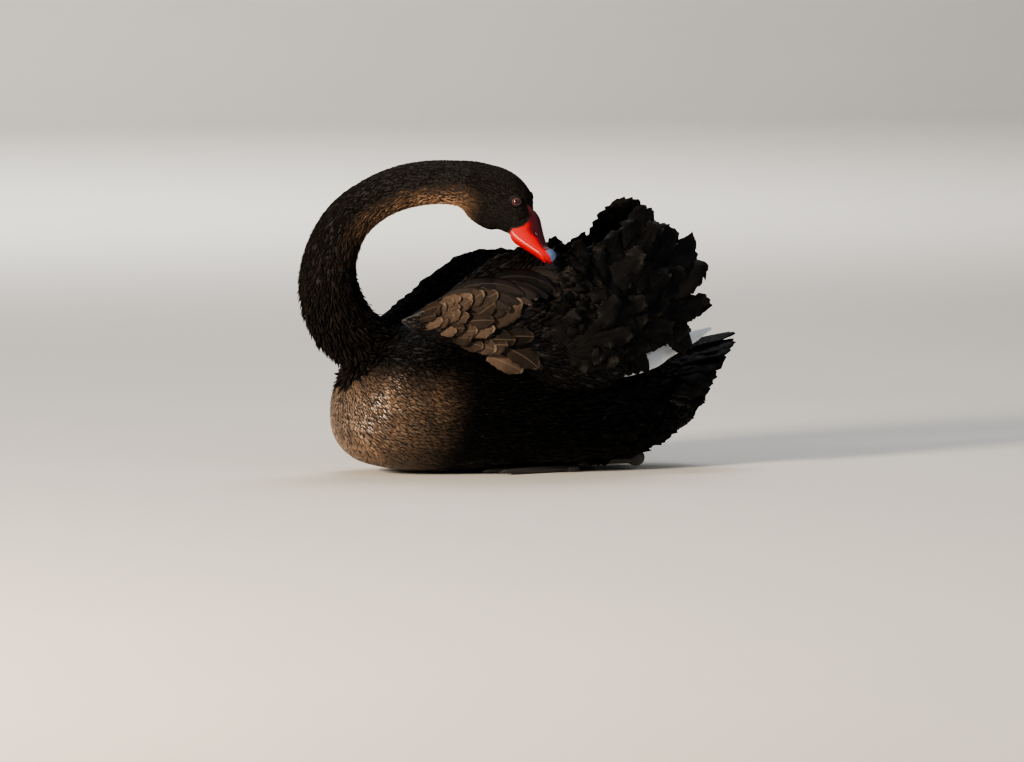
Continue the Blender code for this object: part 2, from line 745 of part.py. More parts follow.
def fan_vanes(side, draw):
    """The tiers of curled feathers that stand up and back from the wing."""
    vanes = []
    for tier, row in enumerate(FAN_TIERS):
        count, high, low, root_reach, tip_share, half_width, tip_lift, sections = row
        for i in range(count):
            angle = high + (low - high) * i / (count - 1) + draw.uniform(-FAN_WOBBLE, FAN_WOBBLE)
            reach = profile(FAN_REACH, angle) * tip_share * draw.uniform(0.97, 1.02)
            root = min(root_reach, ROOT_SHARE * reach)
            turn = math.radians(angle)
            start = (FAN_CENTRE[0] + root * math.cos(turn), FAN_CENTRE[1] + root * math.sin(turn))
            sway = draw.uniform(-FAN_SWAY, FAN_SWAY)
            curl = tip_lift + FAN_CURL * draw.random() ** 2
            path = wing_path(start, angle, reach - root, sway, side, ROOT_SINK, curl, sections)
            twist = draw.uniform(-FAN_TWIST, FAN_TWIST)
            name = f"fan_{tier}_{i}"
            vanes.append(laid_vane(name, *path, half_width, FAN_TILT, twist, "wing"))
    return vanes


def scapular_vanes(side, draw):
    """Long pointed feathers along the top of the arm."""
    vanes = []
    for i in range(SCAPULARS):
        share = i / (SCAPULARS - 1)
        start = [a + (b - a) * share for a, b in zip(SCAPULAR_FROM, SCAPULAR_TO)]
        slope = SCAPULAR_SLOPES[0] + (SCAPULAR_SLOPES[1] - SCAPULAR_SLOPES[0]) * share
        sway = draw.uniform(-SCAPULAR_SWAY, SCAPULAR_SWAY)
        path = wing_path(start, slope, SCAPULAR_LENGTH, sway, side, ROOT_SINK, SCAPULAR_LIFT, 4)
        name = f"scapular_{i}"
        vanes.append(laid_vane(name, *path, SCAPULAR_HALF_WIDTH, FAN_TILT, 0.0, "wing"))
    return vanes


def make_wing(name, side, torso):
    """One wing: its arm, met by the torso, and its tiers of feathers."""
    draw = random.Random(f"{SEED} {name}")
    wing = make_arm(name, side)
    join_all(wing, fan_vanes(side, draw) + scapular_vanes(side, draw))
    wing.data.transform(Matrix.Translation(WING_SHIFTS[side]))
    cut_clear(wing, torso)
    return wing


def make_primaries(name, side, wing, torso):
    """The folded white hand quills, on the tapering core of the hand."""
    rings = []
    for x, y, z, depth, thick in HAND_STATIONS:
        ring = []
        for i in range(HAND_SIDES):
            angle = 2 * math.pi * i / HAND_SIDES
            ring.append((x, side * (y + thick * math.cos(angle)), z + depth * math.sin(angle)))
        rings.append(ring)
    hand = mesh_object(name, loft(rings), "white_quill")
    quills = []
    for i in range(PRIMARIES):
        stack = PRIMARY_STACK * (i - (PRIMARIES - 1) / 2)
        root = np.array((PRIMARY_ROOT[0], side * (PRIMARY_ROOT[1] - stack), PRIMARY_ROOT[2] - stack))
        shift = np.array(PRIMARY_STEP) * i
        tip = np.array(PRIMARY_TIP) + shift
        tip[1] *= side
        centres = [root + (tip - root) * share for share in VANE_PLACES[4]]
        normals = [np.array(PRIMARY_FACE) * (1, side, 1)] * 4
        downs = [np.array((0, 0, -1.0))] * 4
        quill = laid_vane(
            f"primary_{i}", centres, normals, downs, PRIMARY_HALF_WIDTH, PRIMARY_TILT, 0.0,
            "white_quill", PRIMARY_SHAPE,
        )
        quills.append(quill)
    join_all(hand, quills)
    cut_clear(hand, wing)
    cut_clear(hand, torso)
    return hand


def limb(points, radii, sides=6):
    """A tapered round bar through points, as a closed bmesh."""
    rings = []
    for i, point in enumerate(points):
        before, after = points[max(i - 1, 0)], points[min(i + 1, len(points) - 1)]
        tangent = unit(np.array(after, float) - np.array(before, float))
        across = unit(np.cross(tangent, (0, 0, 1)))
        up = np.cross(across, tangent)
        ring = []
        for j in range(sides):
            angle = 2 * math.pi * j / sides
            offset = across * math.cos(angle) + up * math.sin(angle)
            ring.append(np.array(point, float) + offset * radii[i])
        rings.append(ring)
    return loft(rings)


def foot_outline(side):
    """Root, heel and the three forward toe tips on the floor."""
    root = np.array((TOE_ROOT[0], side * TOE_ROOT[1], TOE_RADIUS))
    tips = []
    for length, angle in zip(TOE_LENGTHS, TOE_ANGLES):
        turn = math.radians(angle)
        reach = np.array((-math.cos(turn), side * math.sin(turn), 0)) * length
        tips.append(root + reach)
    return root, tips


def web_plate(side):
    """The web between the toes: a thin plate with hollowed front edges."""
    root, tips = foot_outline(side)
    corners = [root + (tip - root) * WEB_SHARE for tip in tips]
    rim = [root + (root - tips[1]) * 0.05, corners[0]]
    for near, far in zip(corners, corners[1:]):
        rim += [root + ((near + far) / 2 - root) * WEB_SHARE, far]
    bm = bmesh.new()
    plate = bm.faces.new([bm.verts.new((x, y, 0.0002)) for x, y, _ in rim])
    raised = bmesh.ops.extrude_face_region(bm, geom=[plate], use_keep_orig=True)["geom"]
    top = [g for g in raised if isinstance(g, bmesh.types.BMVert)]
    bmesh.ops.translate(bm, vec=(0, 0, WEB_THICKNESS), verts=top)
    bmesh.ops.triangulate(bm, faces=bm.faces)
    return mesh_object("web", bm, "leg")


def make_foot(name, side):
    """Three webbed toes and a small hind toe, with claws, flat on the floor."""
    root, tips = foot_outline(side)
    pieces = []
    for tip in tips:
        claw = tip + unit(tip - root) * CLAW_LENGTH + np.array((0, 0, -CLAW_DROP))
        knuckle = root + (tip - root) * 0.5 + np.array((0, 0, 0.0004))
        points = (root, knuckle, tip, claw)
        radii = (TOE_RADIUS, TOE_RADIUS * 0.86, TOE_RADIUS * 0.66, 0.0007)
        pieces.append(mesh_object("toe", limb(points, radii), "leg"))
    hind = root + np.array((0.012, -side * 0.010, 0.0))
    hind_tip = hind + np.array((HIND_TOE_LENGTH, -side * 0.004, -0.001))
    points = (root, hind, hind_tip)
    pieces.append(mesh_object("hind", limb(points, (0.0046, 0.0034, 0.0010)), "leg"))
    pieces.append(ellipsoid("pad", root, np.eye(3), PAD_SIZE, "leg", 12, 8))
    foot = web_plate(side)
    join_all(foot, pieces)
    foot.name = name
    trim(foot, (0, 0, FLOOR), (0, 0, -1))
    return foot


def make_leg(name, side, foot):
    """The shank from the ankle forwards to the toes, with the knob of the ankle."""
    ankle = np.array((ANKLE[0], side * ANKLE[1], ANKLE[2]))
    root = np.array((TOE_ROOT[0] + 0.004, side * TOE_ROOT[1], TOE_ROOT[2] + 0.002))
    middle = (ankle + root) / 2
    radii = (SHANK_RADIUS * 0.9, SHANK_RADIUS * 0.82, SHANK_RADIUS * 1.1)
    leg = mesh_object(name, limb((root, middle, ankle), radii, 8), "leg")
    knob = ellipsoid("knob", ankle, np.eye(3), KNOB_SIZE, "leg", 12, 8)
    join_all(leg, [knob])
    cut_pocket(leg, foot)
    return leg


def make_tail():
    """The rump and the tail's fan of quills, high in the middle."""
    tail = mesh_object("tail", hull(), "body")
    quills = []
    for i in range(TAIL_QUILLS):
        place = -1 + 2 * (i + 0.5) / TAIL_QUILLS
        edge, half = abs(place), math.copysign(1, place)
        mirror = np.array((1, half, 1))
        root = profile_row(TAIL_ROOTS, edge) * mirror
        tip = profile_row(TAIL_TIPS, edge) * mirror
        back, inner, outer = TAIL_LEAN
        normal = np.array((back, half * (inner + outer * edge), 1.0))
        bow = unit(normal) * TAIL_BEND
        centres = [root + (tip - root) * s + bow * math.sin(math.pi * s) for s in VANE_PLACES[4]]
        down = np.array((0, half, -0.5))
        quill = laid_vane(
            f"quill_{i}", centres, [normal] * 4, [down] * 4, TAIL_HALF_WIDTH, TAIL_TILT, 0.0, "body"
        )
        quills.append(quill)
    join_all(tail, quills)
    trim(tail, (TAIL_CUT_X + GAP, 0, 0), (-1, 0, 0))
    return tail


def main():
    """Builds every node of the swan."""
    clear_scene()
    torso = make_torso()
    frames = make_neck(torso)
    make_head(frames)
    make_bill()
    for side, name in ((-1, "left"), (1, "right")):
        foot = make_foot("foot_" + name, side)
        cut_pocket(torso, foot)
        leg = make_leg("leg_" + name, side, foot)
        cut_pocket(torso, leg)
        wing = make_wing("wing_" + name, side, torso)
        make_primaries(f"wing_{name}_primaries", side, wing, torso)
    make_tail()


main()
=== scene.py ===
"""Looks of a life-size black swan that rests on its belly.

One skin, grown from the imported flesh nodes, carries the small feathers as solid
vanes that follow the lie of the coat.  The raised wings, the white hand quills
and the tail have their own larger vanes.  Bill, eyes and lids are modelled on
the head's own axes.  Metres, +Z up, the breast points along -X.
"""

from __future__ import annotations

import logging
import math
from collections.abc import Callable, Iterable, Sequence
from dataclasses import dataclass, field
from enum import Enum

import bmesh
import bpy
import numpy as np
from mathutils import Matrix, Vector
from mathutils.bvhtree import BVHTree
from mathutils.kdtree import KDTree

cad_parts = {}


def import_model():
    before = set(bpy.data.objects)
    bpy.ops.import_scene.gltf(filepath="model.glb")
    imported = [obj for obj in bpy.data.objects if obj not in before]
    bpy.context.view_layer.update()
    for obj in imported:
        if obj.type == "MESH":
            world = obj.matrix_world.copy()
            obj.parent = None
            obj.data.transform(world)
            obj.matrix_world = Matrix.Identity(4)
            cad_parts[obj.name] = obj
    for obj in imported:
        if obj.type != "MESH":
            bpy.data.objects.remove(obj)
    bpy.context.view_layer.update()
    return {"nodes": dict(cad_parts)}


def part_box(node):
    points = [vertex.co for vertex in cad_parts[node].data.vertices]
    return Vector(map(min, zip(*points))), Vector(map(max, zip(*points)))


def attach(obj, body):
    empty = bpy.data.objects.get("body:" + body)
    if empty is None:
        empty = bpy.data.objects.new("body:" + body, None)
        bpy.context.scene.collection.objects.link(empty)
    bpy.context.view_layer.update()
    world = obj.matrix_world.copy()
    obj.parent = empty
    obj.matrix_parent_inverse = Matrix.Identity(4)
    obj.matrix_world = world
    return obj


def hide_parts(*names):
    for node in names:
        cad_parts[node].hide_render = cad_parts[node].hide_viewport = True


log = logging.getLogger("black_swan")

SEED = 7
BODY = "root"
FLOOR_CLEARANCE = 0.0006
PATCH = 0.003

Rows = np.ndarray
Node = bpy.types.ShaderNode
Socket = bpy.types.NodeSocket


class Slot(Enum):
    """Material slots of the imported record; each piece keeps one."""

    BODY = "body"
    NECK = "neck"
    WING = "wing"
    WHITE_QUILL = "white_quill"
    BILL = "bill"
    EYE = "eye"
    LEG = "leg"


class Side(Enum):
    """The two sides of the bird, as the sign of Y."""

    LEFT = -1
    RIGHT = 1

    @property
    def word(self) -> str:
        """The side's name in lower case."""
        return self.name.lower()


def unit(rows: Rows) -> Rows:
    """Rows of vectors at length 1."""
    length = np.linalg.norm(rows, axis=-1, keepdims=True)
    return rows / np.maximum(length, 1e-12)


def dot(a: Rows, b: Rows) -> Rows:
    """Row by row dot product, kept as a column."""
    return (a * b).sum(axis=-1, keepdims=True)


def smooth_step(low: float, high: float, value: Rows) -> Rows:
    """0 below low, 1 above high and a smooth rise between them."""
    share = np.clip((value - low) / (high - low), 0.0, 1.0)
    return share * share * (3 - 2 * share)


def smooth_rows(table: Sequence[Sequence[float]], places: Rows) -> Rows:
    """Rows of a table at fractional row numbers, through a smooth curve.

    Args:
        table: Rows of numbers.
        places: Row numbers, which may lie between two rows.

    Returns:
        One row for each place.
    """
    rows = np.array(table, float)
    slopes = np.gradient(rows, axis=0)
    low = np.minimum(np.asarray(places).astype(int), len(rows) - 2)
    t = (np.asarray(places) - low)[:, None]
    rise = t * t * (3 - 2 * t)
    leave = t * (1 - t) ** 2 * slopes[low]
    arrive = t * t * (t - 1) * slopes[low + 1]
    return rows[low] * (1 - rise) + rows[low + 1] * rise + leave + arrive


def profile(table: Sequence[Sequence[float]], share: Rows) -> Rows:
    """Values at shares, through the smooth curve of a table of share and value."""
    shares = [row[0] for row in table]
    places = np.interp(np.atleast_1d(share), shares, np.arange(len(shares)))
    return smooth_rows(table, places)[:, 1]


def loft(rings: Sequence[Rows], cap: bool = True) -> bmesh.types.BMesh:
    """A bmesh bridged through rings of points.

    Args:
        rings: Rings with the same number of points, in order.
        cap: Whether both ends are closed by a fan.

    Returns:
        The lofted bmesh.
    """
    bm = bmesh.new()
    loops = []
    for ring in rings:
        points = [bm.verts.new(Vector(point)) for point in ring]
        loops.append([bm.edges.new(pair) for pair in zip(points, points[1:] + points[:1])])
    for near, far in zip(loops, loops[1:]):
        bmesh.ops.bridge_loops(bm, edges=near + far)
    if cap:
        for end in (loops[0], loops[-1]):
            made = bmesh.ops.edgeloop_fill(bm, edges=end)
            bmesh.ops.poke(bm, faces=made["faces"])
    bmesh.ops.recalc_face_normals(bm, faces=bm.faces)
    return bm


def keep_largest(bm: bmesh.types.BMesh) -> None:
    """Deletes every loose surface but the one with the most faces."""
    left = set(bm.faces)
    groups: list[list[bmesh.types.BMFace]] = []
    while left:
        stack = [left.pop()]
        group = list(stack)
        while stack:
            for edge in stack.pop().edges:
                for face in edge.link_faces:
                    if face in left:
                        left.remove(face)
                        stack.append(face)
                        group.append(face)
        groups.append(group)
    groups.sort(key=len)
    spare = [face for group in groups[:-1] for face in group]
    bmesh.ops.delete(bm, geom=spare, context="FACES")


@dataclass
class Piece:
    """One visible piece: its name, slot, finish and the CAD nodes it stands for."""

    name: str
    slot: Slot
    finish: bpy.types.Material
    replaces: tuple[str, ...] = ()

    def place(self, mesh: bpy.types.Mesh) -> bpy.types.Object:
        """Links the mesh as this piece and lets it ride on the body.

        Args:
            mesh: The finished mesh, with its place in its vertices.

        Returns:
            The new object.
        """
        mesh.name = self.name
        mesh.materials.clear()
        mesh.materials.append(self.finish)
        made = bpy.data.objects.new(self.name, mesh)
        bpy.context.scene.collection.objects.link(made)
        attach(made, BODY)
        if self.replaces:
            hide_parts(*self.replaces)
        triangles = sum(len(face.vertices) - 2 for face in mesh.polygons)
        log.info("%s: %d triangles", self.name, triangles)
        return made

    def place_bmesh(self, bm: bmesh.types.BMesh, smooth_angle: float = 60.0) -> bpy.types.Object:
        """Links a bmesh as this piece, smooth but for its sharp edges.

        Args:
            bm: The bmesh, which is freed.
            smooth_angle: Edges sharper than this many degrees stay sharp.

        Returns:
            The new object.
        """
        mesh = bpy.data.meshes.new(self.name)
        bm.to_mesh(mesh)
        bm.free()
        mesh.shade_smooth()
        mesh.set_sharp_from_angle(angle=math.radians(smooth_angle))
        return self.place(mesh)


class Graph:
    """A small helper that adds and links nodes in a material or a node group."""

    def __init__(self, tree: bpy.types.NodeTree) -> None:
        """Keeps the tree that the nodes go into."""
        self.tree = tree

    def add(self, kind: str, **settings: object) -> Node:
        """Adds a node and sets its properties.

        Args:
            kind: The node's Blender type without the leading ShaderNode.
            settings: Properties of the node.

        Returns:
            The new node.
        """
        node = self.tree.nodes.new("ShaderNode" + kind)
        for key, value in settings.items():
            setattr(node, key, value)
        return node

    def feed(self, socket: Socket, value: object) -> None:
        """Links an output into the socket, or sets the socket to a plain value."""
        if isinstance(value, bpy.types.NodeSocket):
            self.tree.links.new(value, socket)
        else:
            socket.default_value = value

    def math(self, operation: str, *values: object, clamp: bool = False) -> Socket:
        """The result of a Math node on sockets or numbers."""
        node = self.add("Math", operation=operation, use_clamp=clamp)
        for socket, value in zip(node.inputs, values):
            self.feed(socket, value)
        return node.outputs[0]

    def ramp(self, value: object, low: float, high: float, start: float = 0.0, end: float = 1.0) -> Socket:
        """A value mapped smoothly from low..high to start..end."""
        node = self.add("MapRange", interpolation_type="SMOOTHSTEP")
        for name, number in zip(("From Min", "From Max", "To Min", "To Max"), (low, high, start, end)):
            node.inputs[name].default_value = number
        self.feed(node.inputs["Value"], value)
        return node.outputs["Result"]

    def mix(self, factor: object, first: object, second: object, blend: str = "MIX") -> Socket:
        """Two colours mixed by a factor."""
        node = self.add("Mix", data_type="RGBA", blend_type=blend)
        self.feed(node.inputs["Factor"], factor)
        self.feed(node.inputs["A"], first)
        self.feed(node.inputs["B"], second)
        return next(out for out in node.outputs if out.type == "RGBA")

    def noise(self, vector: object, scale: float, detail: float = 4.0, roughness: float = 0.6) -> Socket:
        """Noise over a vector, from 0 to 1."""
        node = self.add("TexNoise")
        self.feed(node.inputs["Vector"], vector)
        node.inputs["Scale"].default_value = scale
        node.inputs["Detail"].default_value = detail
        node.inputs["Roughness"].default_value = roughness
        return node.outputs["Fac"]

    def group(self, tree: bpy.types.NodeTree, **inputs: object) -> Node:
        """Adds a node group with its inputs linked or set by name."""
        node = self.add("Group", node_tree=tree)
        for name, value in inputs.items():
            self.feed(node.inputs[name.replace("_", " ")], value)
        return node


def new_group(name: str, inputs: dict[str, str], outputs: dict[str, str]) -> tuple[Graph, Node, Node]:
    """An empty shader node group with named sockets.

    Args:
        name: The group's name.
        inputs: Socket names and their types.
        outputs: Socket names and their types.

    Returns:
        The graph, and the group's input and output nodes.
    """
    tree = bpy.data.node_groups.new(name, "ShaderNodeTree")
    for sockets, direction in ((inputs, "INPUT"), (outputs, "OUTPUT")):
        for label, kind in sockets.items():
            tree.interface.new_socket(label, in_out=direction, socket_type="NodeSocket" + kind)
    return Graph(tree), tree.nodes.new("NodeGroupInput"), tree.nodes.new("NodeGroupOutput")


def vane_marks() -> bpy.types.NodeTree:
    """A group with the marks of one feather: worn fringe, shaft, and barbs.

    Returns:
        The group.  Its Vane input is a map of across and along, each 0 to 1.
    """
    name = "vane marks"
    if name in bpy.data.node_groups:
        return bpy.data.node_groups[name]
    sockets = {"Vane": "Vector", "Barbs": "Float", "Rim": "Float", "Break up": "Float"}
    g, start, end = new_group(name, sockets, {"Fringe": "Float", "Shaft": "Float", "Height": "Float"})
    split = g.add("SeparateXYZ")
    g.feed(split.inputs[0], start.outputs["Vane"])
    along = split.outputs["Y"]
    across = g.math("MULTIPLY", g.math("ABSOLUTE", g.math("SUBTRACT", split.outputs["X"], 0.5)), 2.0)
    tip = g.math("POWER", along, 2.0)
    reach = g.math("MULTIPLY", g.math("POWER", across, 3.0), g.ramp(along, 0.3, 0.8))
    edge = g.math("MAXIMUM", tip, reach)
    broken = g.math("ADD", edge, g.math("MULTIPLY", g.math("SUBTRACT", start.outputs["Break up"], 0.5), 0.5))
    start_of_rim = g.math("SUBTRACT", 1.0, start.outputs["Rim"])
    fringe = g.math("DIVIDE", g.math("SUBTRACT", broken, start_of_rim), start.outputs["Rim"], clamp=True)
    shaft = g.ramp(across, 0.0, 0.10, 1.0, 0.0)
    slant = g.math("MULTIPLY", across, 0.35)
    phase = g.math("MULTIPLY", g.math("SUBTRACT", along, slant), start.outputs["Barbs"])
    barbs = g.math("MULTIPLY", g.math("SINE", g.math("MULTIPLY", phase, 2 * math.pi)), 0.3)
    height = g.math("ADD", barbs, shaft)
    for label, value in (("Fringe", fringe), ("Shaft", shaft), ("Height", height)):
        g.feed(end.inputs[label], value)
    return g.tree


def weathering() -> bpy.types.NodeTree:
    """A group with broad and fine wear over a piece, from its own coordinates."""
    name = "weathering"
    if name in bpy.data.node_groups:
        return bpy.data.node_groups[name]
    g, start, end = new_group(name, {"Place": "Vector", "Scale": "Float"}, {"Broad": "Float", "Fine": "Float"})
    scaled = g.add("VectorMath", operation="SCALE")
    g.feed(scaled.inputs[0], start.outputs["Place"])
    g.feed(scaled.inputs["Scale"], start.outputs["Scale"])
    g.feed(end.inputs["Broad"], g.ramp(g.noise(scaled.outputs[0], 1.0, 3.0), 0.35, 0.65))
    g.feed(end.inputs["Fine"], g.noise(scaled.outputs[0], 14.0, 5.0, 0.7))
    return g.tree


def new_material(name: str) -> tuple[bpy.types.Material, Graph, Node]:
    """A material with its graph and its Principled BSDF."""
    made = bpy.data.materials.new(name)
    made.use_nodes = True
    return made, Graph(made.node_tree), made.node_tree.nodes["Principled BSDF"]


Colour = tuple[float, float, float, float]


@dataclass(frozen=True)
class PlumageFinish:
    """Feathers: a dark web, a browner web by the Brown attribute (brown feathers, and on the breast and under the
    neck also painted light), a paler fringe and a shaft.
    """

    name: str
    dark: Colour
    brown: Colour
    fringe: Colour
    rim: float = 0.35
    barbs: float = 16.0
    rough_low: float = 0.42
    rough_high: float = 0.68
    sheen: float = 0.12
    specular: float = 0.5
    bump: float = 0.35
    spread: float = 0.75
    wet: float = 0.0
    fringe_by_brown: float = 0.0
    coat: float = 0.0

    def build(self) -> bpy.types.Material:
        """Builds the material.

        Returns:
            The material, which reads the piece's Vane map and its Tone and Brown attributes.
        """
        made, g, shader = new_material(self.name)
        vane = g.add("UVMap", uv_map="Vane").outputs["UV"]
        place = g.add("TexCoord").outputs["Object"]
        tone = g.add("Attribute", attribute_name="Tone").outputs["Fac"]
        brown = g.add("Attribute", attribute_name="Brown").outputs["Fac"]
        wear = g.group(weathering(), Place=place, Scale=16.0)
        marks = g.group(
            vane_marks(), Vane=vane, Barbs=self.barbs, Rim=self.rim, Break_up=wear.outputs["Fine"]
        )
        # The Brown attribute warms the web; on the breast and under the neck it is partly painted light.
        warmth = g.math("MULTIPLY", brown, g.ramp(wear.outputs["Broad"], 0.0, 1.0, 0.45, 1.0))
        web = g.mix(warmth, self.dark, self.brown)
        varied = g.mix(1.0, web, g.ramp(tone, 0.0, 1.0, 1.0 - 0.5 * self.spread, 1.0 + self.spread), "MULTIPLY")
        # Pale feather fringes; where fringe_by_brown is set they show only with the Brown attribute, so on the
        # breast and neck they are part of its painted light.
        worn_and_lit = g.math("MULTIPLY", marks.outputs["Fringe"], g.ramp(tone, 0.15, 0.9, 0.25, 1.0))
        kept = g.ramp(brown, 0.0, 0.8, 1.0 - self.fringe_by_brown, 1.0)
        edged = g.mix(g.math("MULTIPLY", worn_and_lit, kept), varied, self.fringe)
        shaft = g.math("MULTIPLY", g.math("MULTIPLY", marks.outputs["Shaft"], kept), 0.30)
        g.feed(shader.inputs["Base Color"], g.mix(shaft, edged, self.fringe))
        dry = g.ramp(wear.outputs["Fine"], 0.3, 0.7, self.rough_low, self.rough_high)
        gloss = g.math("SUBTRACT", 1.0, g.math("MULTIPLY", brown, self.wet))
        g.feed(shader.inputs["Roughness"], g.math("MULTIPLY", dry, gloss))
        bump = g.add("Bump")
        bump.inputs["Strength"].default_value = self.bump
        bump.inputs["Distance"].default_value = 0.0006
        g.feed(bump.inputs["Height"], marks.outputs["Height"])
        g.feed(shader.inputs["Normal"], bump.outputs["Normal"])
        g.feed(shader.inputs["Coat Weight"], g.math("MULTIPLY", brown, self.coat))
        shader.inputs["Coat Roughness"].default_value = 0.24
        shader.inputs["Sheen Weight"].default_value = self.sheen
        shader.inputs["Sheen Roughness"].default_value = 0.4
        shader.inputs["Specular IOR Level"].default_value = self.specular
        return made


@dataclass(frozen=True)
class SkinFinish:
    """Skin under the coat: dark down, and bare red lores where the mask says so."""

    name: str = "skin"
    down: Colour = (0.0030, 0.0026, 0.0026, 1.0)
    lores: Colour = (0.16, 0.006, 0.008, 1.0)

    def build(self) -> bpy.types.Material:
        """Builds the material, which reads the skin's Lores attribute."""
        made, g, shader = new_material(self.name)
        place = g.add("TexCoord").outputs["Object"]
        wear = g.group(weathering(), Place=place, Scale=40.0)
        bare = g.add("Attribute", attribute_name="Lores").outputs["Fac"]
        down = g.mix(wear.outputs["Fine"], self.down, tuple(min(1.0, 2.2 * c) for c in self.down[:3]) + (1.0,))
        g.feed(shader.inputs["Base Color"], g.mix(bare, down, self.lores))
        g.feed(shader.inputs["Roughness"], g.ramp(bare, 0.0, 1.0, 0.85, 0.42))
        bump = g.add("Bump")
        bump.inputs["Strength"].default_value = 0.5
        bump.inputs["Distance"].default_value = 0.0008
        g.feed(bump.inputs["Height"], g.noise(place, 900.0, 3.0))
        g.feed(shader.inputs["Normal"], bump.outputs["Normal"])
        return made


@dataclass(frozen=True)
class BillFinish:
    """Waxy red horn, darkened towards its ridge as painted shade, with a pale nail and a pale bar behind it, by the
    Reach attribute.
    """

    name: str = "bill"
    red: Colour = (0.46, 0.005, 0.005, 1.0)
    # Deep red for the fine mottling, and also painted shade: the horn darkens to it towards the ridge.
    deep_red_and_ridge_shade: Colour = (0.046, 0.0025, 0.0070, 1.0)
    # The nail's pale horn, painted dim and blue as it looks in shade.
    pale: Colour = (0.10, 0.155, 0.29, 1.0)
    nail_from: float = 0.81
    roughness: tuple[float, float] = (0.34, 0.50)

    def build(self) -> bpy.types.Material:
        """Builds the material, which reads the bill's Reach and Rise attributes."""
        made, g, shader = new_material(self.name)
        place = g.add("TexCoord").outputs["Object"]
        reach = g.add("Attribute", attribute_name="Reach").outputs["Fac"]
        rise = g.add("Attribute", attribute_name="Rise").outputs["Fac"]
        wear = g.group(weathering(), Place=place, Scale=60.0)
        uneven = g.math("MULTIPLY", g.math("SUBTRACT", wear.outputs["Broad"], 0.5), 0.12)
        # Painted shade: the upper side of the horn darkens towards the ridge, by the Rise attribute.
        ridge = g.ramp(g.math("ADD", rise, uneven), 0.40, 0.66)
        body = g.mix(ridge, self.red, self.deep_red_and_ridge_shade)
        mottled = g.mix(g.ramp(wear.outputs["Fine"], 0.35, 0.75, 0.0, 0.30), body, self.deep_red_and_ridge_shade)
        edge = g.math("ADD", reach, g.math("MULTIPLY", g.math("SUBTRACT", wear.outputs["Fine"], 0.5), 0.03))
        # The nail and the bar behind it take the pale colour, which is painted shade over pale horn.
        nail = g.math("MULTIPLY", g.ramp(edge, self.nail_from, self.nail_from + 0.03), g.ramp(rise, 0.30, 0.55))
        g.feed(shader.inputs["Base Color"], g.mix(nail, mottled, self.pale))
        g.feed(shader.inputs["Roughness"], g.ramp(wear.outputs["Fine"], 0.3, 0.7, *self.roughness))
        bump = g.add("Bump")
        bump.inputs["Strength"].default_value = 0.25
        bump.inputs["Distance"].default_value = 0.0004
        g.feed(bump.inputs["Height"], g.noise(place, 700.0, 4.0))
        g.feed(shader.inputs["Normal"], bump.outputs["Normal"])
        shader.inputs["Subsurface Weight"].default_value = 0.05
        shader.inputs["Subsurface Radius"].default_value = (0.004, 0.001, 0.001)
        shader.inputs["Specular IOR Level"].default_value = 0.35
        shader.inputs["Coat Weight"].default_value = 0.08
        shader.inputs["Coat Roughness"].default_value = 0.25
        return made


@dataclass(frozen=True)
class EyeFinish:
    """Wet eyeball: black pupil, dark red iris with fine spokes, and dark skin outside the lids."""

    name: str = "eye"
    pupil: Colour = (0.003, 0.003, 0.003, 1.0)
    iris: Colour = (0.11, 0.006, 0.005, 1.0)
    rim: Colour = (0.020, 0.003, 0.003, 1.0)
    outside: Colour = (0.006, 0.004, 0.004, 1.0)

    def build(self) -> bpy.types.Material:
        """Builds the material, which reads how far each point is from the gaze, 1 at the lids."""
        made, g, shader = new_material(self.name)
        gaze = g.add("Attribute", attribute_name="Gaze").outputs["Fac"]
        place = g.add("TexCoord").outputs["Object"]
        spokes = g.noise(place, 1800.0, 2.0)
        iris = g.mix(g.ramp(spokes, 0.3, 0.7), self.rim, self.iris)
        ringed = g.mix(g.ramp(gaze, 0.50, 0.58), self.pupil, iris)
        shaded = g.mix(g.ramp(gaze, 0.74, 0.96), ringed, self.rim)
        skin = g.ramp(gaze, 1.0, 1.08)
        g.feed(shader.inputs["Base Color"], g.mix(skin, shaded, self.outside))
        g.feed(shader.inputs["Roughness"], g.ramp(skin, 0.0, 1.0, 0.08, 0.75))
        g.feed(shader.inputs["Coat Weight"], g.ramp(skin, 0.0, 1.0, 0.2, 0.0))
        shader.inputs["Coat Roughness"].default_value = 0.03
        return made


@dataclass(frozen=True)
class LeatherFinish:
    """Scaled or wrinkled bare skin: a base colour, a darker crease colour and bumps.

    A Shade attribute, where a piece has one, darkens it towards the crease colour.
    """

    name: str
    base: Colour
    crease: Colour
    scale: float
    roughness: tuple[float, float] = (0.40, 0.62)
    bump: float = 0.6

    def build(self) -> bpy.types.Material:
        """Builds the material from cells over the piece's own coordinates."""
        made, g, shader = new_material(self.name)
        place = g.add("TexCoord").outputs["Object"]
        cells = g.add("TexVoronoi", feature="DISTANCE_TO_EDGE")
        g.feed(cells.inputs["Vector"], place)
        cells.inputs["Scale"].default_value = self.scale
        plate = g.ramp(cells.outputs["Distance"], 0.02, 0.14)
        wear = g.group(weathering(), Place=place, Scale=30.0)
        tinted = g.mix(g.ramp(wear.outputs["Fine"], 0.3, 0.7, 0.0, 0.4), self.base, self.crease)
        scaled = g.mix(plate, self.crease, tinted)
        shade = g.add("Attribute", attribute_name="Shade").outputs["Fac"]
        g.feed(shader.inputs["Base Color"], g.mix(shade, scaled, self.crease))
        g.feed(shader.inputs["Roughness"], g.ramp(wear.outputs["Fine"], 0.3, 0.7, *self.roughness))
        bump = g.add("Bump")
        bump.inputs["Strength"].default_value = self.bump
        bump.inputs["Distance"].default_value = 0.0006
        g.feed(bump.inputs["Height"], plate)
        g.feed(shader.inputs["Normal"], bump.outputs["Normal"])
        return made


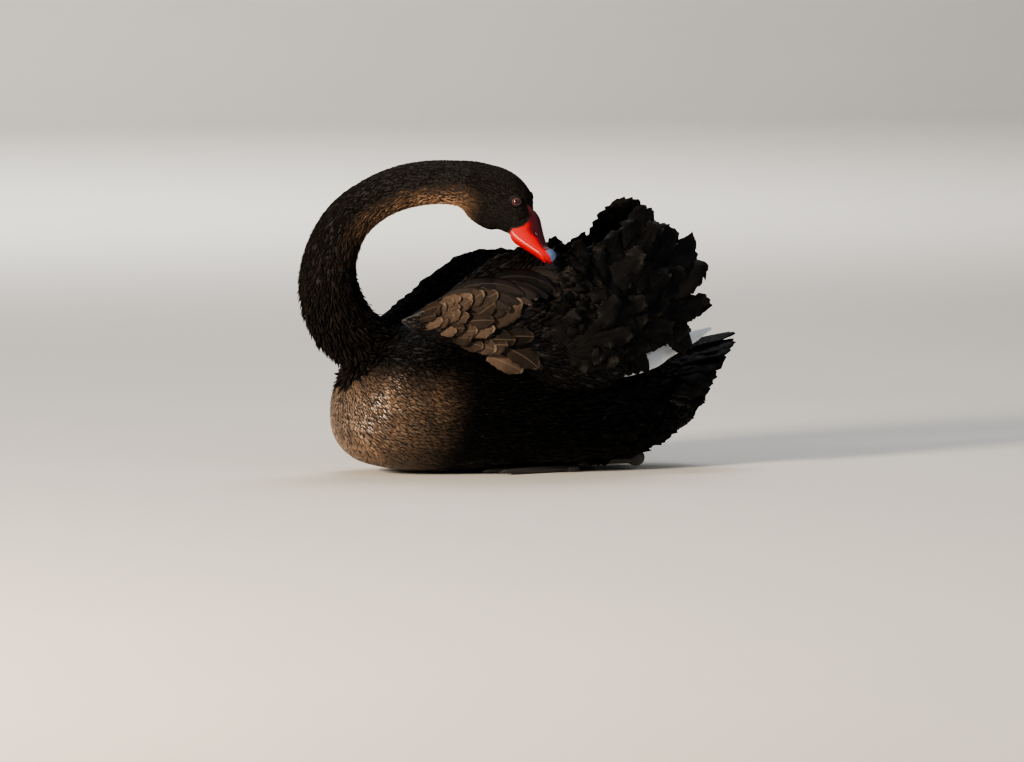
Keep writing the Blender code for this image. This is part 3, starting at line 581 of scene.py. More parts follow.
@dataclass(frozen=True)
class FloorFinish:
    """Matt pale floor with a faint grain."""

    name: str = "floor"
    colour: Colour = (0.74, 0.71, 0.66, 1.0)

    def build(self) -> bpy.types.Material:
        """Builds the material from the floor's own coordinates."""
        made, g, shader = new_material(self.name)
        place = g.add("TexCoord").outputs["Object"]
        grain = g.noise(place, 3.0, 2.0)
        light = tuple(min(1.0, 1.04 * c) for c in self.colour[:3]) + (1.0,)
        g.feed(shader.inputs["Base Color"], g.mix(grain, self.colour, light))
        g.feed(shader.inputs["Roughness"], g.ramp(grain, 0.3, 0.7, 0.8, 0.9))
        return made


def mesh_from_quads(
    name: str, vertices: Rows, quads: Rows, maps: dict[str, Rows], values: dict[str, Rows]
) -> bpy.types.Mesh:
    """A mesh of many small closed forms, from arrays.

    Args:
        name: The mesh's name.
        vertices: Points, three numbers a row.
        quads: Four vertex numbers a row.
        maps: UV maps, two numbers for each corner of each quad.
        values: Attributes, one number for each vertex.

    Returns:
        The smooth shaded mesh.
    """
    mesh = bpy.data.meshes.new(name)
    mesh.vertices.add(len(vertices))
    mesh.loops.add(quads.size)
    mesh.polygons.add(len(quads))
    mesh.vertices.foreach_set("co", vertices.astype(np.float32).ravel())
    mesh.loops.foreach_set("vertex_index", quads.astype(np.int32).ravel())
    mesh.polygons.foreach_set("loop_start", np.arange(0, quads.size, 4, dtype=np.int32))
    for label, corners in maps.items():
        layer = mesh.uv_layers.new(name=label)
        layer.data.foreach_set("uv", corners.astype(np.float32).ravel())
    for label, numbers in values.items():
        attribute = mesh.attributes.new(label, "FLOAT", "POINT")
        attribute.data.foreach_set("value", numbers.astype(np.float32).ravel())
    mesh.update(calc_edges=True)
    mesh.shade_smooth()
    return mesh


class Surface:
    """A closed surface that feathers are rooted in and laid over."""

    def __init__(self, bm: bmesh.types.BMesh) -> None:
        """Reads the bmesh's triangles and keeps a search tree of its faces."""
        bm.normal_update()
        self.tree = BVHTree.FromBMesh(bm)
        corners = [[loop.vert.co for loop in loops] for loops in bm.calc_loop_triangles()]
        self.triangles = np.array(corners, float)
        edges = self.triangles[:, 1:] - self.triangles[:, :1]
        cross = np.cross(edges[:, 0], edges[:, 1])
        self.areas = np.linalg.norm(cross, axis=1) / 2
        self.normals = unit(cross)

    def settle(self, points: Rows) -> tuple[Rows, Rows]:
        """The nearest points of the surface and its normals there."""
        found = [self.tree.find_nearest(point)[:2] for point in points.tolist()]
        return np.array([f[0] for f in found], float), np.array([f[1] for f in found], float)

    def scatter(
        self, spacing: Callable[[Rows, Rows], Rows], draw: np.random.Generator, crowd: float = 4.0
    ) -> tuple[Rows, Rows]:
        """Evenly spread random roots.

        Args:
            spacing: Wanted distance between roots, from points and normals; 0 where none grow.
            draw: The seeded random source.
            crowd: How many candidates are tried for each root.

        Returns:
            The roots and the surface normals at them.
        """
        centres = self.triangles.mean(axis=1)
        wanted = spacing(centres, self.normals)
        weight = np.where(wanted > 0, self.areas / np.maximum(wanted, 1e-4) ** 2, 0.0)
        count = int(weight.sum() * crowd)
        chosen = draw.choice(len(weight), size=count, p=weight / weight.sum())
        a, b = np.sqrt(draw.random(count)), draw.random(count)
        shares = np.stack((1 - a, a * (1 - b), a * b), axis=1)[:, :, None]
        points = (self.triangles[chosen] * shares).sum(axis=1)
        radius = 0.86 * wanted[chosen]
        tree = KDTree(count)
        for i, point in enumerate(points.tolist()):
            tree.insert(point, i)
        tree.balance()
        gone = np.zeros(count, bool)
        kept = []
        for i, point in enumerate(points.tolist()):
            if gone[i]:
                continue
            kept.append(i)
            for _, other, _ in tree.find_range(point, radius[i]):
                gone[other] = True
        return points[kept], self.normals[chosen][kept]


class BodyLine:
    """The bird's middle line from the face to the tail, with axes carried along it."""

    def __init__(self, points: Sequence[Sequence[float]], samples: int = 400) -> None:
        """Samples the line and carries a crosswise axis down it without twist."""
        self.rows = len(points)
        self.points = smooth_rows(points, np.linspace(0, self.rows - 1, samples))
        steps = np.linalg.norm(np.diff(self.points, axis=0), axis=1)
        self.distance = np.concatenate(([0.0], np.cumsum(steps)))
        self.along = unit(np.gradient(self.points, axis=0))
        across = np.array((0.0, 1.0, 0.0))
        axes = []
        for way in self.along:
            across = across - across.dot(way) * way
            across = across / np.linalg.norm(across)
            axes.append(across)
        self.across = np.array(axes)
        self.up = np.cross(self.along, self.across)
        self.tree = KDTree(samples)
        for i, point in enumerate(self.points.tolist()):
            self.tree.insert(point, i)
        self.tree.balance()

    def nearest(self, points: Rows) -> Rows:
        """The number of the nearest sample for each point."""
        return np.array([self.tree.find(point)[1] for point in points.tolist()])

    def distance_at(self, row: float) -> float:
        """How far down the line a row of the given points lies."""
        samples = len(self.points)
        return float(self.distance[int(round(row / (self.rows - 1) * (samples - 1)))])

    def unwrap(self, points: Rows, found: Rows) -> Rows:
        """Turn about the line and distance down it, both 0 to 1, as a flat map."""
        arm = points - self.points[found]
        turn = np.arctan2((arm * self.up[found]).sum(axis=1), (arm * self.across[found]).sum(axis=1))
        reach = self.distance[found]
        span = max(float(np.ptp(reach)), 1e-6)
        return np.stack((turn / (2 * math.pi) + 0.5, (reach - reach.min()) / span), axis=1)


@dataclass(frozen=True)
class Plume:
    """One kind of small feather.

    The outline holds half widths as shares of the widest at the places along it.
    """

    places: tuple[float, ...]
    outline: tuple[float, ...]
    slim: float
    thickness: float = 0.00035
    ridge: float = 0.14
    camber: float = 0.22
    sink: float = 0.0010
    wander: float = 9.0
    uneven: float = 0.16


POINTED = Plume((0.0, 0.35, 0.70, 1.0), (0.55, 1.0, 0.72, 0.10), slim=0.16, wander=14.0, uneven=0.25)
PLUSH = Plume((0.0, 0.5, 1.0), (0.7, 1.0, 0.16), slim=0.20, wander=10.0, sink=0.0005, thickness=0.00025)
SILKY = Plume(
    (0.0, 0.35, 0.70, 1.0), (0.5, 1.0, 0.8, 0.15), slim=0.17, thickness=0.0002, ridge=0.10, camber=0.10,
    wander=7.0, sink=0.0006,
)
RAGGED = Plume((0.0, 0.30, 0.62, 0.86, 1.0), (0.40, 0.90, 1.0, 0.66, 0.12), slim=0.30, wander=20.0, uneven=0.3)


@dataclass
class Bed:
    """Roots of small feathers, with how each is to grow."""

    roots: Rows
    normals: Rows
    lies: Rows
    lengths: Rows
    lifts: Rows
    curls: Rows
    browns: Rows
    unwrap: Rows

    def part(self, mask: Rows) -> "Bed":
        """Only the roots that the mask picks."""
        return Bed(*(getattr(self, name)[mask] for name in self.__dataclass_fields__))


class Coat:
    """Grows a bed of small feathers over a surface, as one mesh."""

    def __init__(self, surface: Surface, draw: np.random.Generator) -> None:
        """Keeps the surface and the random source."""
        self.surface = surface
        self.draw = draw

    def grow(self, name: str, bed: Bed, plume: Plume) -> bpy.types.Mesh:
        """Builds the feathers as thin closed forms that lean over the surface.

        Args:
            name: The mesh's name.
            bed: Where the feathers are rooted.
            plume: The kind of feather.

        Returns:
            The mesh, with its Vane and OFBake maps and its Tone and Brown values.
        """
        count, sections = len(bed.roots), len(plume.places)
        turn = np.radians(self.draw.normal(0.0, plume.wander, count))[:, None]
        sideways = np.cross(bed.normals, bed.lies)
        way = unit(bed.lies * np.cos(turn) + sideways * np.sin(turn))
        size = bed.lengths * np.clip(1 + plume.uneven * self.draw.normal(0, 1, count), 0.5, 1.6)
        bend = self.draw.normal(0, 0.10, count)
        rise = bed.lifts * self.draw.uniform(0.6, 1.4, count)
        flick = bed.curls * self.draw.random(count) ** 2
        ground, up, before = bed.roots, bed.normals, 0.0
        centres, ways, ups = [], [], []
        for share in plume.places:
            step = ((share - before) * size)[:, None]
            if share > 0:
                ground, up = self.surface.settle(ground + way * step)
                way = unit(way - dot(way, up) * up + np.cross(up, way) * bend[:, None])
            before = share
            height = -plume.sink * (1 - share) + rise * share + flick * share**3
            centres.append(ground + up * height[:, None])
            ups.append(up)
        centres = np.stack(centres, axis=1)
        ways = unit(np.gradient(centres, axis=1))
        ups = np.stack(ups, axis=1)
        ups = unit(ups - dot(ups, ways) * ways)
        across = np.cross(ways, ups)
        roll = np.radians(self.draw.normal(0, plume.wander, count))[:, None, None]
        across, ups = across * np.cos(roll) + ups * np.sin(roll), ups * np.cos(roll) - across * np.sin(roll)
        wide = (size * plume.slim)[:, None, None] * np.array(plume.outline)[None, :, None]
        drop = ups * wide * plume.camber
        half = ups * (plume.thickness / 2)
        rings = np.stack(
            (
                centres - across * wide - drop,
                centres + half + ups * wide * plume.ridge,
                centres + across * wide - drop,
                centres - half,
            ),
            axis=2,
        )
        vertices = rings.reshape(-1, 3)
        vertices[:, 2] = np.maximum(vertices[:, 2], FLOOR_CLEARANCE)
        quads, corners = self.template(plume)
        offsets = np.arange(count)[:, None, None] * sections * 4
        vane = np.tile(corners, (count, 1, 1)).reshape(-1, 2)
        flat = corners * (0.5, 1.0) + np.where(self.underside(sections)[:, None, None], (0.5, 0.0), (0.0, 0.0))
        patch = (bed.unwrap[:, None, None] * (1 - PATCH) + flat[None] * PATCH).reshape(-1, 2)
        each = sections * 4
        return mesh_from_quads(
            name,
            vertices,
            (quads[None] + offsets).reshape(-1, 4),
            {"Vane": vane, "OFBake": patch},
            {"Tone": np.repeat(self.draw.random(count), each), "Brown": np.repeat(bed.browns, each)},
        )

    @staticmethod
    def underside(sections: int) -> Rows:
        """Which of a feather's quads are on its lower face."""
        return np.array([False, False, True, True] * (sections - 1) + [True, True])

    @staticmethod
    def template(plume: Plume) -> tuple[Rows, Rows]:
        """The quads of one feather and the place of each corner across and along it."""
        sections = len(plume.places)
        turn = (0.0, 0.5, 1.0, 0.5)
        quads, corners = [], []
        for k in range(sections - 1):
            for j in range(4):
                cells = ((k, j), (k, (j + 1) % 4), (k + 1, (j + 1) % 4), (k + 1, j))
                quads.append([4 * row + column for row, column in cells])
                corners.append([(turn[column], plume.places[row]) for row, column in cells])
        last = 4 * (sections - 1)
        quads += [[3, 2, 1, 0], [last, last + 1, last + 2, last + 3]]
        corners += [[(turn[j], 0.0) for j in (3, 2, 1, 0)], [(turn[j], 1.0) for j in range(4)]]
        return np.array(quads), np.array(corners)


@dataclass(frozen=True)
class Vane:
    """One kind of large feather, with a grid on each face.

    The outline pairs shares along it with half widths as shares of the widest.
    """

    outline: tuple[tuple[float, float], ...]
    rows: int = 20
    columns: int = 7
    thickness: float = 0.0007
    shaft: float = 0.0009
    camber: float = 0.16
    ruffle: float = 0.0
    waves: float = 2.2
    ragged: float = 0.05
    tip_round: float = 0.35


FRILL = Vane(
    ((0.0, 0.35), (0.3, 0.82), (0.65, 1.0), (0.88, 0.88), (1.0, 0.50)), rows=40, columns=7,
    ruffle=0.0050, ragged=0.115,
)
SOFT = Vane(
    ((0.0, 0.50), (0.35, 0.92), (0.70, 1.0), (0.90, 0.82), (1.0, 0.45)), rows=20, columns=9,
    thickness=0.0004, shaft=0.0004, camber=0.10, ruffle=0.0009, ragged=0.050, tip_round=0.6,
)
LONG = Vane(((0.0, 0.45), (0.3, 0.90), (0.7, 1.0), (0.9, 0.80), (1.0, 0.35)), ruffle=0.0008, ragged=0.05)
QUILL = Vane(((0.0, 0.55), (0.4, 1.0), (0.8, 0.72), (1.0, 0.20)), ragged=0.03, rows=16, columns=5)
RUDDER = Vane(((0.0, 0.6), (0.4, 0.95), (0.8, 1.0), (1.0, 0.55)), ruffle=0.0012, ragged=0.09, rows=16)


@dataclass
class VaneRow:
    """Large feathers of one kind, each a path with its axes and its width."""

    kind: Vane
    centres: Rows
    ups: Rows
    widths: Rows
    downs: Rows
    tilts: Rows
    twists: Rows
    browns: Rows

    def axes(self) -> tuple[Rows, Rows, Rows]:
        """Ways along, across and up for each vane, tilted and twisted towards the tip."""
        ways = unit(np.gradient(self.centres, axis=1))
        ups = unit(self.ups - dot(self.ups, ways) * ways)
        across = np.cross(ways, ups)
        lower = np.sign(dot(across, self.downs))
        share = np.linspace(0, 1, self.centres.shape[1])[None, :, None]
        turn = lower * (self.tilts[:, None, None] + self.twists[:, None, None] * share**3)
        tilted = across * np.cos(turn) + ups * np.sin(turn)
        return ways, tilted, ups * np.cos(turn) - across * np.sin(turn)

    def mesh(self, name: str, draw: np.random.Generator) -> bpy.types.Mesh:
        """Builds the vanes as closed thin sheets with ruffled, ragged edges.

        Args:
            name: The mesh's name.
            draw: The seeded random source.

        Returns:
            The mesh, with its Vane and OFBake maps and its Tone and Brown values.
        """
        kind, (count, rows) = self.kind, self.centres.shape[:2]
        share = np.linspace(0, 1, rows)
        cells = np.linspace(-1, 1, kind.columns)
        ways, across, ups = self.axes()
        wide = self.widths[:, None, None] * profile(kind.outline, share)[None, :, None]
        fray = 1 + kind.ragged * draw.normal(0, 1, (count, rows, 2))
        wide = wide * np.where(cells < 0, fray[:, :, :1], fray[:, :, 1:])
        phase = draw.uniform(0, 2 * math.pi, (count, 1, 2))
        pitch = kind.waves * draw.uniform(0.7, 1.3, (count, 1, 2))
        wave = np.sin(2 * math.pi * pitch * share[None, :, None] + phase)
        wave = np.where(cells < 0, wave[:, :, :1], wave[:, :, 1:]) * np.abs(cells) ** 1.6
        grown = smooth_step(0.15, 0.7, share)[None, :, None]
        height = kind.ruffle * wave * grown - kind.camber * wide * cells**2
        back = kind.tip_round * wide * cells**2 * smooth_step(0.6, 1.0, share)[None, :, None]
        loose = kind.ragged * (0.3 + 1.2 * smooth_step(0.85, 1.0, share))[None, :, None]
        back = back + loose * wide * draw.normal(0, 1, (count, rows, kind.columns))
        middle = (
            self.centres[:, :, None]
            + across[:, :, None] * (wide * cells)[..., None]
            + ups[:, :, None] * height[..., None]
            - ways[:, :, None] * back[..., None]
        )
        body = kind.thickness * (1 - 0.7 * np.abs(cells)) / 2
        rib = kind.shaft * np.exp(-((cells / 0.16) ** 2)) * (1 - 0.75 * share[:, None])
        lift = ups[:, :, None] * (body[None, None] + rib[None])[..., None]
        sheets = np.stack((middle + lift, middle - lift), axis=1)
        vertices = sheets.reshape(-1, 3)
        vertices[:, 2] = np.maximum(vertices[:, 2], FLOOR_CLEARANCE)
        quads, corners = self.template(rows, kind.columns)
        each = 2 * rows * kind.columns
        side = math.ceil(math.sqrt(count))
        cell = np.stack((np.arange(count) % side, np.arange(count) // side), axis=1)[:, None, None]
        flat = (cell + 0.04 + 0.92 * corners[None, ..., 2:]) / side
        vane = np.tile(corners[..., :2], (count, 1, 1)).reshape(-1, 2)
        return mesh_from_quads(
            name,
            vertices,
            (quads[None] + (np.arange(count) * each)[:, None, None]).reshape(-1, 4),
            {"Vane": vane, "OFBake": flat.reshape(-1, 2)},
            {"Tone": np.repeat(draw.random(count), each), "Brown": np.repeat(self.browns, each)},
        )

    @staticmethod
    def template(rows: int, columns: int) -> tuple[Rows, Rows]:
        """The quads of one vane, with each corner's place on it and on its flat patch."""
        face = rows * columns
        quads, corners = [], []

        def add(cells: Iterable[tuple[int, int, int]]) -> None:
            """Adds one quad from its cells: sheet, row, column."""
            quad, places = [], []
            for sheet, row, column in cells:
                quad.append(sheet * face + row * columns + column)
                u, v = column / (columns - 1), row / (rows - 1)
                places.append((u, v, 0.5 * sheet + 0.48 * u, v))
            quads.append(quad)
            corners.append(places)

        for k in range(rows - 1):
            for j in range(columns - 1):
                add(((0, k, j), (0, k, j + 1), (0, k + 1, j + 1), (0, k + 1, j)))
                add(((1, k + 1, j), (1, k + 1, j + 1), (1, k, j + 1), (1, k, j)))
            last = columns - 1
            add(((0, k, 0), (0, k + 1, 0), (1, k + 1, 0), (1, k, 0)))
            add(((0, k + 1, last), (0, k, last), (1, k, last), (1, k + 1, last)))
        for j in range(columns - 1):
            end = rows - 1
            add(((0, 0, j + 1), (0, 0, j), (1, 0, j), (1, 0, j + 1)))
            add(((0, end, j), (0, end, j + 1), (1, end, j + 1), (1, end, j)))
        return np.array(quads), np.array(corners)


# Middle of the neck and body from the face to the tail: x, y, z.
MIDDLE_LINE = (
    (-0.0185, -0.1030, 0.3262), (-0.0322, -0.0930, 0.3420), (-0.0617, -0.0755, 0.3632),
    (-0.1020, -0.0600, 0.3775), (-0.1675, -0.0410, 0.3707), (-0.2280, -0.0210, 0.3320),
    (-0.2533, -0.0080, 0.2700), (-0.2500, -0.0040, 0.2250), (-0.2300, -0.0020, 0.1800),
    (-0.1750, 0.0000, 0.1350), (-0.1000, 0.0000, 0.1050), (0.0000, 0.0000, 0.1000),
    (0.1000, 0.0000, 0.1000), (0.2000, 0.0000, 0.1150), (0.2700, 0.0000, 0.1250),
)
HEAD_ROW = 2.6
NECK_ROW = 8.0
FLESH = ("torso", "neck_lower", "neck_middle", "neck_upper", "head")


@dataclass
class Face:
    """The head's own axes: bill base, tip and the eyes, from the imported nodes."""

    base: Rows = field(default_factory=lambda: np.array((-0.0180, -0.1030, 0.3290)))
    tip: Rows = field(default_factory=lambda: np.array((0.0110, -0.1440, 0.2826)))
    azimuth: float = math.radians(-41)
    roll: float = math.radians(22)
    eye_forward: float = -0.12
    eye_upward: float = 0.62
    # Where the cheek's feathers end: height on the bill's axes and distance ahead.
    cheek: tuple[tuple[float, float], ...] = (
        (-0.030, 0.0040), (-0.021, 0.0048), (-0.017, 0.0058), (-0.009, 0.0100), (-0.0046, 0.0108),
        (0.0016, 0.0096), (0.0058, 0.0066), (0.0105, 0.0000), (0.0140, -0.0052), (0.0158, -0.0048),
        (0.0172, -0.0022), (0.0205, -0.0016),
    )
    forehead: float = -0.0016

    def __post_init__(self) -> None:
        """Works out the forward, crown and side axes and finds the eyes."""
        self.length = float(np.linalg.norm(self.tip - self.base))
        self.forward = (self.tip - self.base) / self.length
        side = np.array((math.sin(self.azimuth), -math.cos(self.azimuth), 0.0))
        side = side - side.dot(self.forward) * self.forward
        side = side / np.linalg.norm(side)
        crown = np.cross(side, self.forward)
        turn = np.array(Matrix.Rotation(-self.roll, 3, Vector(self.forward)))
        self.crown, self.side = turn @ crown, turn @ side
        self.eyes: dict[Side, Rows] = {}
        self.eye_radius = 0.0
        for side_of in Side:
            low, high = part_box("eye_" + side_of.word)
            self.eyes[side_of] = np.array((low + high) / 2)
            self.eye_radius = max(self.eye_radius, max(high - low) / 2)
        self.eye_line = unit(self.eyes[Side.LEFT] - self.eyes[Side.RIGHT])

    def gaze(self, side: Side) -> Rows:
        """The way that one eye looks."""
        outward = self.eye_line * (1.0 if side is Side.LEFT else -1.0)
        return unit(outward + self.head_way() * self.eye_forward + self.crown_up() * self.eye_upward)

    def head_way(self) -> Rows:
        """The way from between the eyes towards the bill's base."""
        return unit(self.base - (self.eyes[Side.LEFT] + self.eyes[Side.RIGHT]) / 2)

    def crown_up(self) -> Rows:
        """The way to the crown at the eyes."""
        return unit(np.cross(self.head_way(), self.eye_line))

    def local(self, points: Rows) -> Rows:
        """Points as forward, crown and side distances from the bill's base."""
        return (points - self.base) @ np.stack((self.forward, self.crown, self.side), axis=1)

    def near_eye(self, points: Rows) -> Rows:
        """Distance from each point to the nearer eye's middle."""
        gaps = [np.linalg.norm(points - eye, axis=1) for eye in self.eyes.values()]
        return np.minimum(*gaps)

    def lores(self, points: Rows) -> Rows:
        """How bare each point is, 0 under feathers to 1 on the red skin round the bill."""
        ahead, height, aside = self.local(points).T
        cheek = np.interp(height, [row[0] for row in self.cheek], [row[1] for row in self.cheek])
        sides = smooth_step(0.0035, 0.0100, np.abs(aside))
        border = cheek * sides + self.forehead * (1 - sides)
        near = np.linalg.norm(points - self.base, axis=1) < 0.06
        return smooth_step(-0.0007, 0.0007, ahead - border) * near


@dataclass
class Torso:
    """Skin of neck, head and body, and the coat of small feathers over it."""

    face: Face
    voxel: float = 0.0025
    smoothing: int = 4
    skin_ahead: float = 0.0150
    bill_region: float = 0.085
    plush_edge: float = 0.0011
    bare_depth: float = 0.0010
    eye_clear: float = 0.0080
    ring_pitch: float = 0.0070
    # Rump behind the torso's cut: x, half width, bottom, top.
    rump: tuple[tuple[float, float, float, float], ...] = (
        (0.150, 0.086, 0.014, 0.159), (0.175, 0.077, 0.021, 0.156), (0.200, 0.067, 0.034, 0.154),
        (0.225, 0.054, 0.051, 0.151), (0.245, 0.038, 0.070, 0.149), (0.258, 0.020, 0.088, 0.144),
    )
    # Depth of the coat against distance down the middle line's rows.
    coat_depth: tuple[tuple[float, float], ...] = (
        (0.0, 0.0012), (2.0, 0.0022), (4.0, 0.0040), (7.0, 0.0060), (9.0, 0.0050), (14.0, 0.0060),
    )
    # Feather length against the middle line's rows on head and neck.
    neck_length: tuple[tuple[float, float], ...] = (
        (0.0, 0.0035), (1.0, 0.0050), (2.6, 0.0075), (4.0, 0.0100), (6.0, 0.0140), (8.0, 0.0170),
        (14.0, 0.0180),
    )
    # Feather length against x on the body.
    body_length: tuple[tuple[float, float], ...] = (
        (-0.26, 0.0125), (-0.15, 0.0150), (0.0, 0.0210), (0.15, 0.0280), (0.27, 0.0300),
    )
    # Distance between the feathers' roots against x on the body.
    body_spacing: tuple[tuple[float, float], ...] = (
        (-0.26, 0.0028), (-0.15, 0.0031), (-0.08, 0.0036), (0.05, 0.0044), (0.15, 0.0056), (0.27, 0.0060),
    )
    hem: tuple[tuple[float, float], tuple[float, float]] = ((-0.229, 0.1235), (-0.158, 0.190))

    def __post_init__(self) -> None:
        """Lays the middle line."""
        self.line = BodyLine(MIDDLE_LINE)

    def rows_of(self, found: Rows) -> Rows:
        """The middle line's row numbers of its samples."""
        return found / (len(self.line.points) - 1) * (self.line.rows - 1)

    def skin(self, nodes: dict[str, bpy.types.Object]) -> bmesh.types.BMesh:
        """Fuses copies of the flesh nodes and the rump, and sinks them by the coat's depth.

        Args:
            nodes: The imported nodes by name.

        Returns:
            The closed skin.
        """
        turns = np.linspace(0, 2 * math.pi, 28, endpoint=False)
        rings = []
        for x, half, bottom, top in self.rump:
            middle, height = (bottom + top) / 2, (top - bottom) / 2
            ring = [(x, half * math.cos(a), middle + height * math.sin(a)) for a in turns]
            rings.append(np.array(ring))
        bm = loft(rings)
        for name in FLESH + ("bill_upper", "bill_lower"):
            bm.from_mesh(nodes[name].data)
        bmesh.ops.remove_doubles(bm, verts=bm.verts, dist=1e-6)
        helper_mesh = bpy.data.meshes.new("skin_helper")
        bm.to_mesh(helper_mesh)
        bm.free()
        helper = bpy.data.objects.new("skin_helper", helper_mesh)
        bpy.context.scene.collection.objects.link(helper)
        remesh = helper.modifiers.new("fuse", "REMESH")
        remesh.mode = "VOXEL"
        remesh.voxel_size = self.voxel
        graph = bpy.context.evaluated_depsgraph_get()
        fused = bmesh.new()
        fused.from_object(helper, graph)
        bpy.data.objects.remove(helper, do_unlink=True)
        keep_largest(fused)
        for _ in range(self.smoothing):
            bmesh.ops.smooth_vert(fused, verts=fused.verts, factor=0.5, use_axis_x=True, use_axis_y=True,
                                  use_axis_z=True)
        face = self.face
        by_bill = [f for f in fused.faces if (f.verts[0].co - Vector(face.base)).length < self.bill_region]
        bmesh.ops.bisect_plane(
            fused, geom=list({part for f in by_bill for part in (*f.verts, *f.edges)}) + by_bill,
            plane_co=Vector(face.base + face.forward * self.skin_ahead), plane_no=Vector(face.forward),
            clear_outer=True,
        )
        rim = [edge for edge in fused.edges if edge.is_boundary]
        bmesh.ops.edgeloop_fill(fused, edges=rim)
        fused.normal_update()
        points = np.array([v.co for v in fused.verts], float)
        depth = profile(self.coat_depth, self.rows_of(self.line.nearest(points)))
        bare = face.lores(points)
        ahead = face.local(points)[:, 0]
        near = np.linalg.norm(points - face.base, axis=1) < 0.06
        on_bill = smooth_step(-0.0030, 0.0010, ahead) * near
        depth = depth * (1 - on_bill) - self.plush_edge * on_bill
        depth = depth * (1 - bare) + self.bare_depth * bare * on_bill
        for vertex, sunk in zip(fused.verts, depth.tolist()):
            vertex.co -= vertex.normal * sunk
            vertex.co.z = max(vertex.co.z, 0.0030)
        mask = fused.verts.layers.float.new("Lores")
        for vertex, value in zip(fused.verts, bare.tolist()):
            vertex[mask] = value
        return fused

    def is_neck(self, points: Rows, rows: Rows) -> Rows:
        """Whether points belong to the shaggy neck, in front of its hem on the breast."""
        (x0, z0), (x1, z1) = self.hem
        above = (z1 - z0) * -(points[:, 0] - x0) + (x1 - x0) * (points[:, 2] - z0)
        return (rows < NECK_ROW - 1) | ((above > 0) & (rows < NECK_ROW + 3.5))

    def neck_bed(self, surface: Surface, draw: np.random.Generator) -> tuple[Bed, Rows]:
        """Roots of the head's and neck's feathers, and their rows on the middle line."""

        def spacing(points: Rows, _: Rows) -> Rows:
            """Distance between roots, 0 off the neck and on bare skin."""
            rows = self.rows_of(self.line.nearest(points))
            size = profile(self.neck_length, rows)
            grows = self.is_neck(points, rows) & (self.face.near_eye(points) > self.eye_clear)
            return np.where(grows, 0.0005 + 0.165 * size, 0.0)

        roots, normals = surface.scatter(spacing, draw)
        bare = self.face.lores(roots) > 0.35
        roots, normals = roots[~bare], normals[~bare]
        found = self.line.nearest(roots)
        rows = self.rows_of(found)
        lies = self.lie(found, normals)
        shaggy = smooth_step(3.4, 7.0, rows)
        rings = 0.5 + 0.5 * np.sin(2 * math.pi * self.line.distance[found] / self.ring_pitch)
        collar = smooth_step(6.2, 8.0, rows)
        lengths = 0.85 * profile(self.neck_length, rows)
        lifts = 0.0005 + 0.0014 * shaggy + 0.0044 * collar * rings
        curls = 0.0004 + 0.0022 * shaggy
        # Browner on the downward-facing side of the upper neck: partly brown feathers and partly painted light, a
        # warm glow under the arch.
        under = np.clip(-normals[:, 2], 0, 1) * (1 - smooth_step(4.6, 6.0, rows))
        under = under * smooth_step(1.5, 2.7, rows)
        browns = 0.004 + 0.85 * under + 0.012 * draw.random(len(roots)) + 0.012 * collar * rings
        unwrap = self.line.unwrap(roots, found)
        return Bed(roots, normals, lies, lengths, lifts, curls, browns, unwrap), rows

    def body_bed(self, surface: Surface, draw: np.random.Generator, bare: Callable[[Rows], Rows]) -> Bed:
        """Roots of the breast's, flanks', back's and belly's feathers."""

        def spacing(points: Rows, _: Rows) -> Rows:
            """Distance between roots, 0 on the neck and over the feet."""
            rows = self.rows_of(self.line.nearest(points))
            grows = ~self.is_neck(points, rows) & (points[:, 2] < 0.215) & ~bare(points)
            return np.where(grows, profile(self.body_spacing, points[:, 0]), 0.0)

        roots, normals = surface.scatter(spacing, draw)
        found = self.line.nearest(roots)
        lies = self.lie(found, normals)
        count = len(roots)
        rear = smooth_step(-0.16, 0.05, roots[:, 0])
        lengths = profile(self.body_length, roots[:, 0])
        lifts = np.full(count, 0.0006) + 0.0026 * rear
        lifts = np.where(roots[:, 2] < 0.02, 0.0004, lifts)
        curls = 0.0004 + 0.0060 * rear * (roots[:, 2] > 0.03)
        x, z = roots[:, 0], roots[:, 2]
        # The lower front of the breast is browner: partly brown feathers and partly painted light, its edge
        # following where the breast is lit.
        worn_and_lit = (1 - smooth_step(-0.212, -0.098, x - 0.20 * (z - 0.07))) * (1 - smooth_step(0.085, 0.155, z))
        browns = 0.002 + worn_and_lit * (0.82 + 0.18 * draw.random(count))
        return Bed(roots, normals, lies, lengths, lifts, curls, browns, self.line.unwrap(roots, found))

    def lie(self, found: Rows, normals: Rows) -> Rows:
        """The way the feathers lie: down the middle line, along the skin."""
        way = self.line.along[found]
        return unit(way - dot(way, normals) * normals)

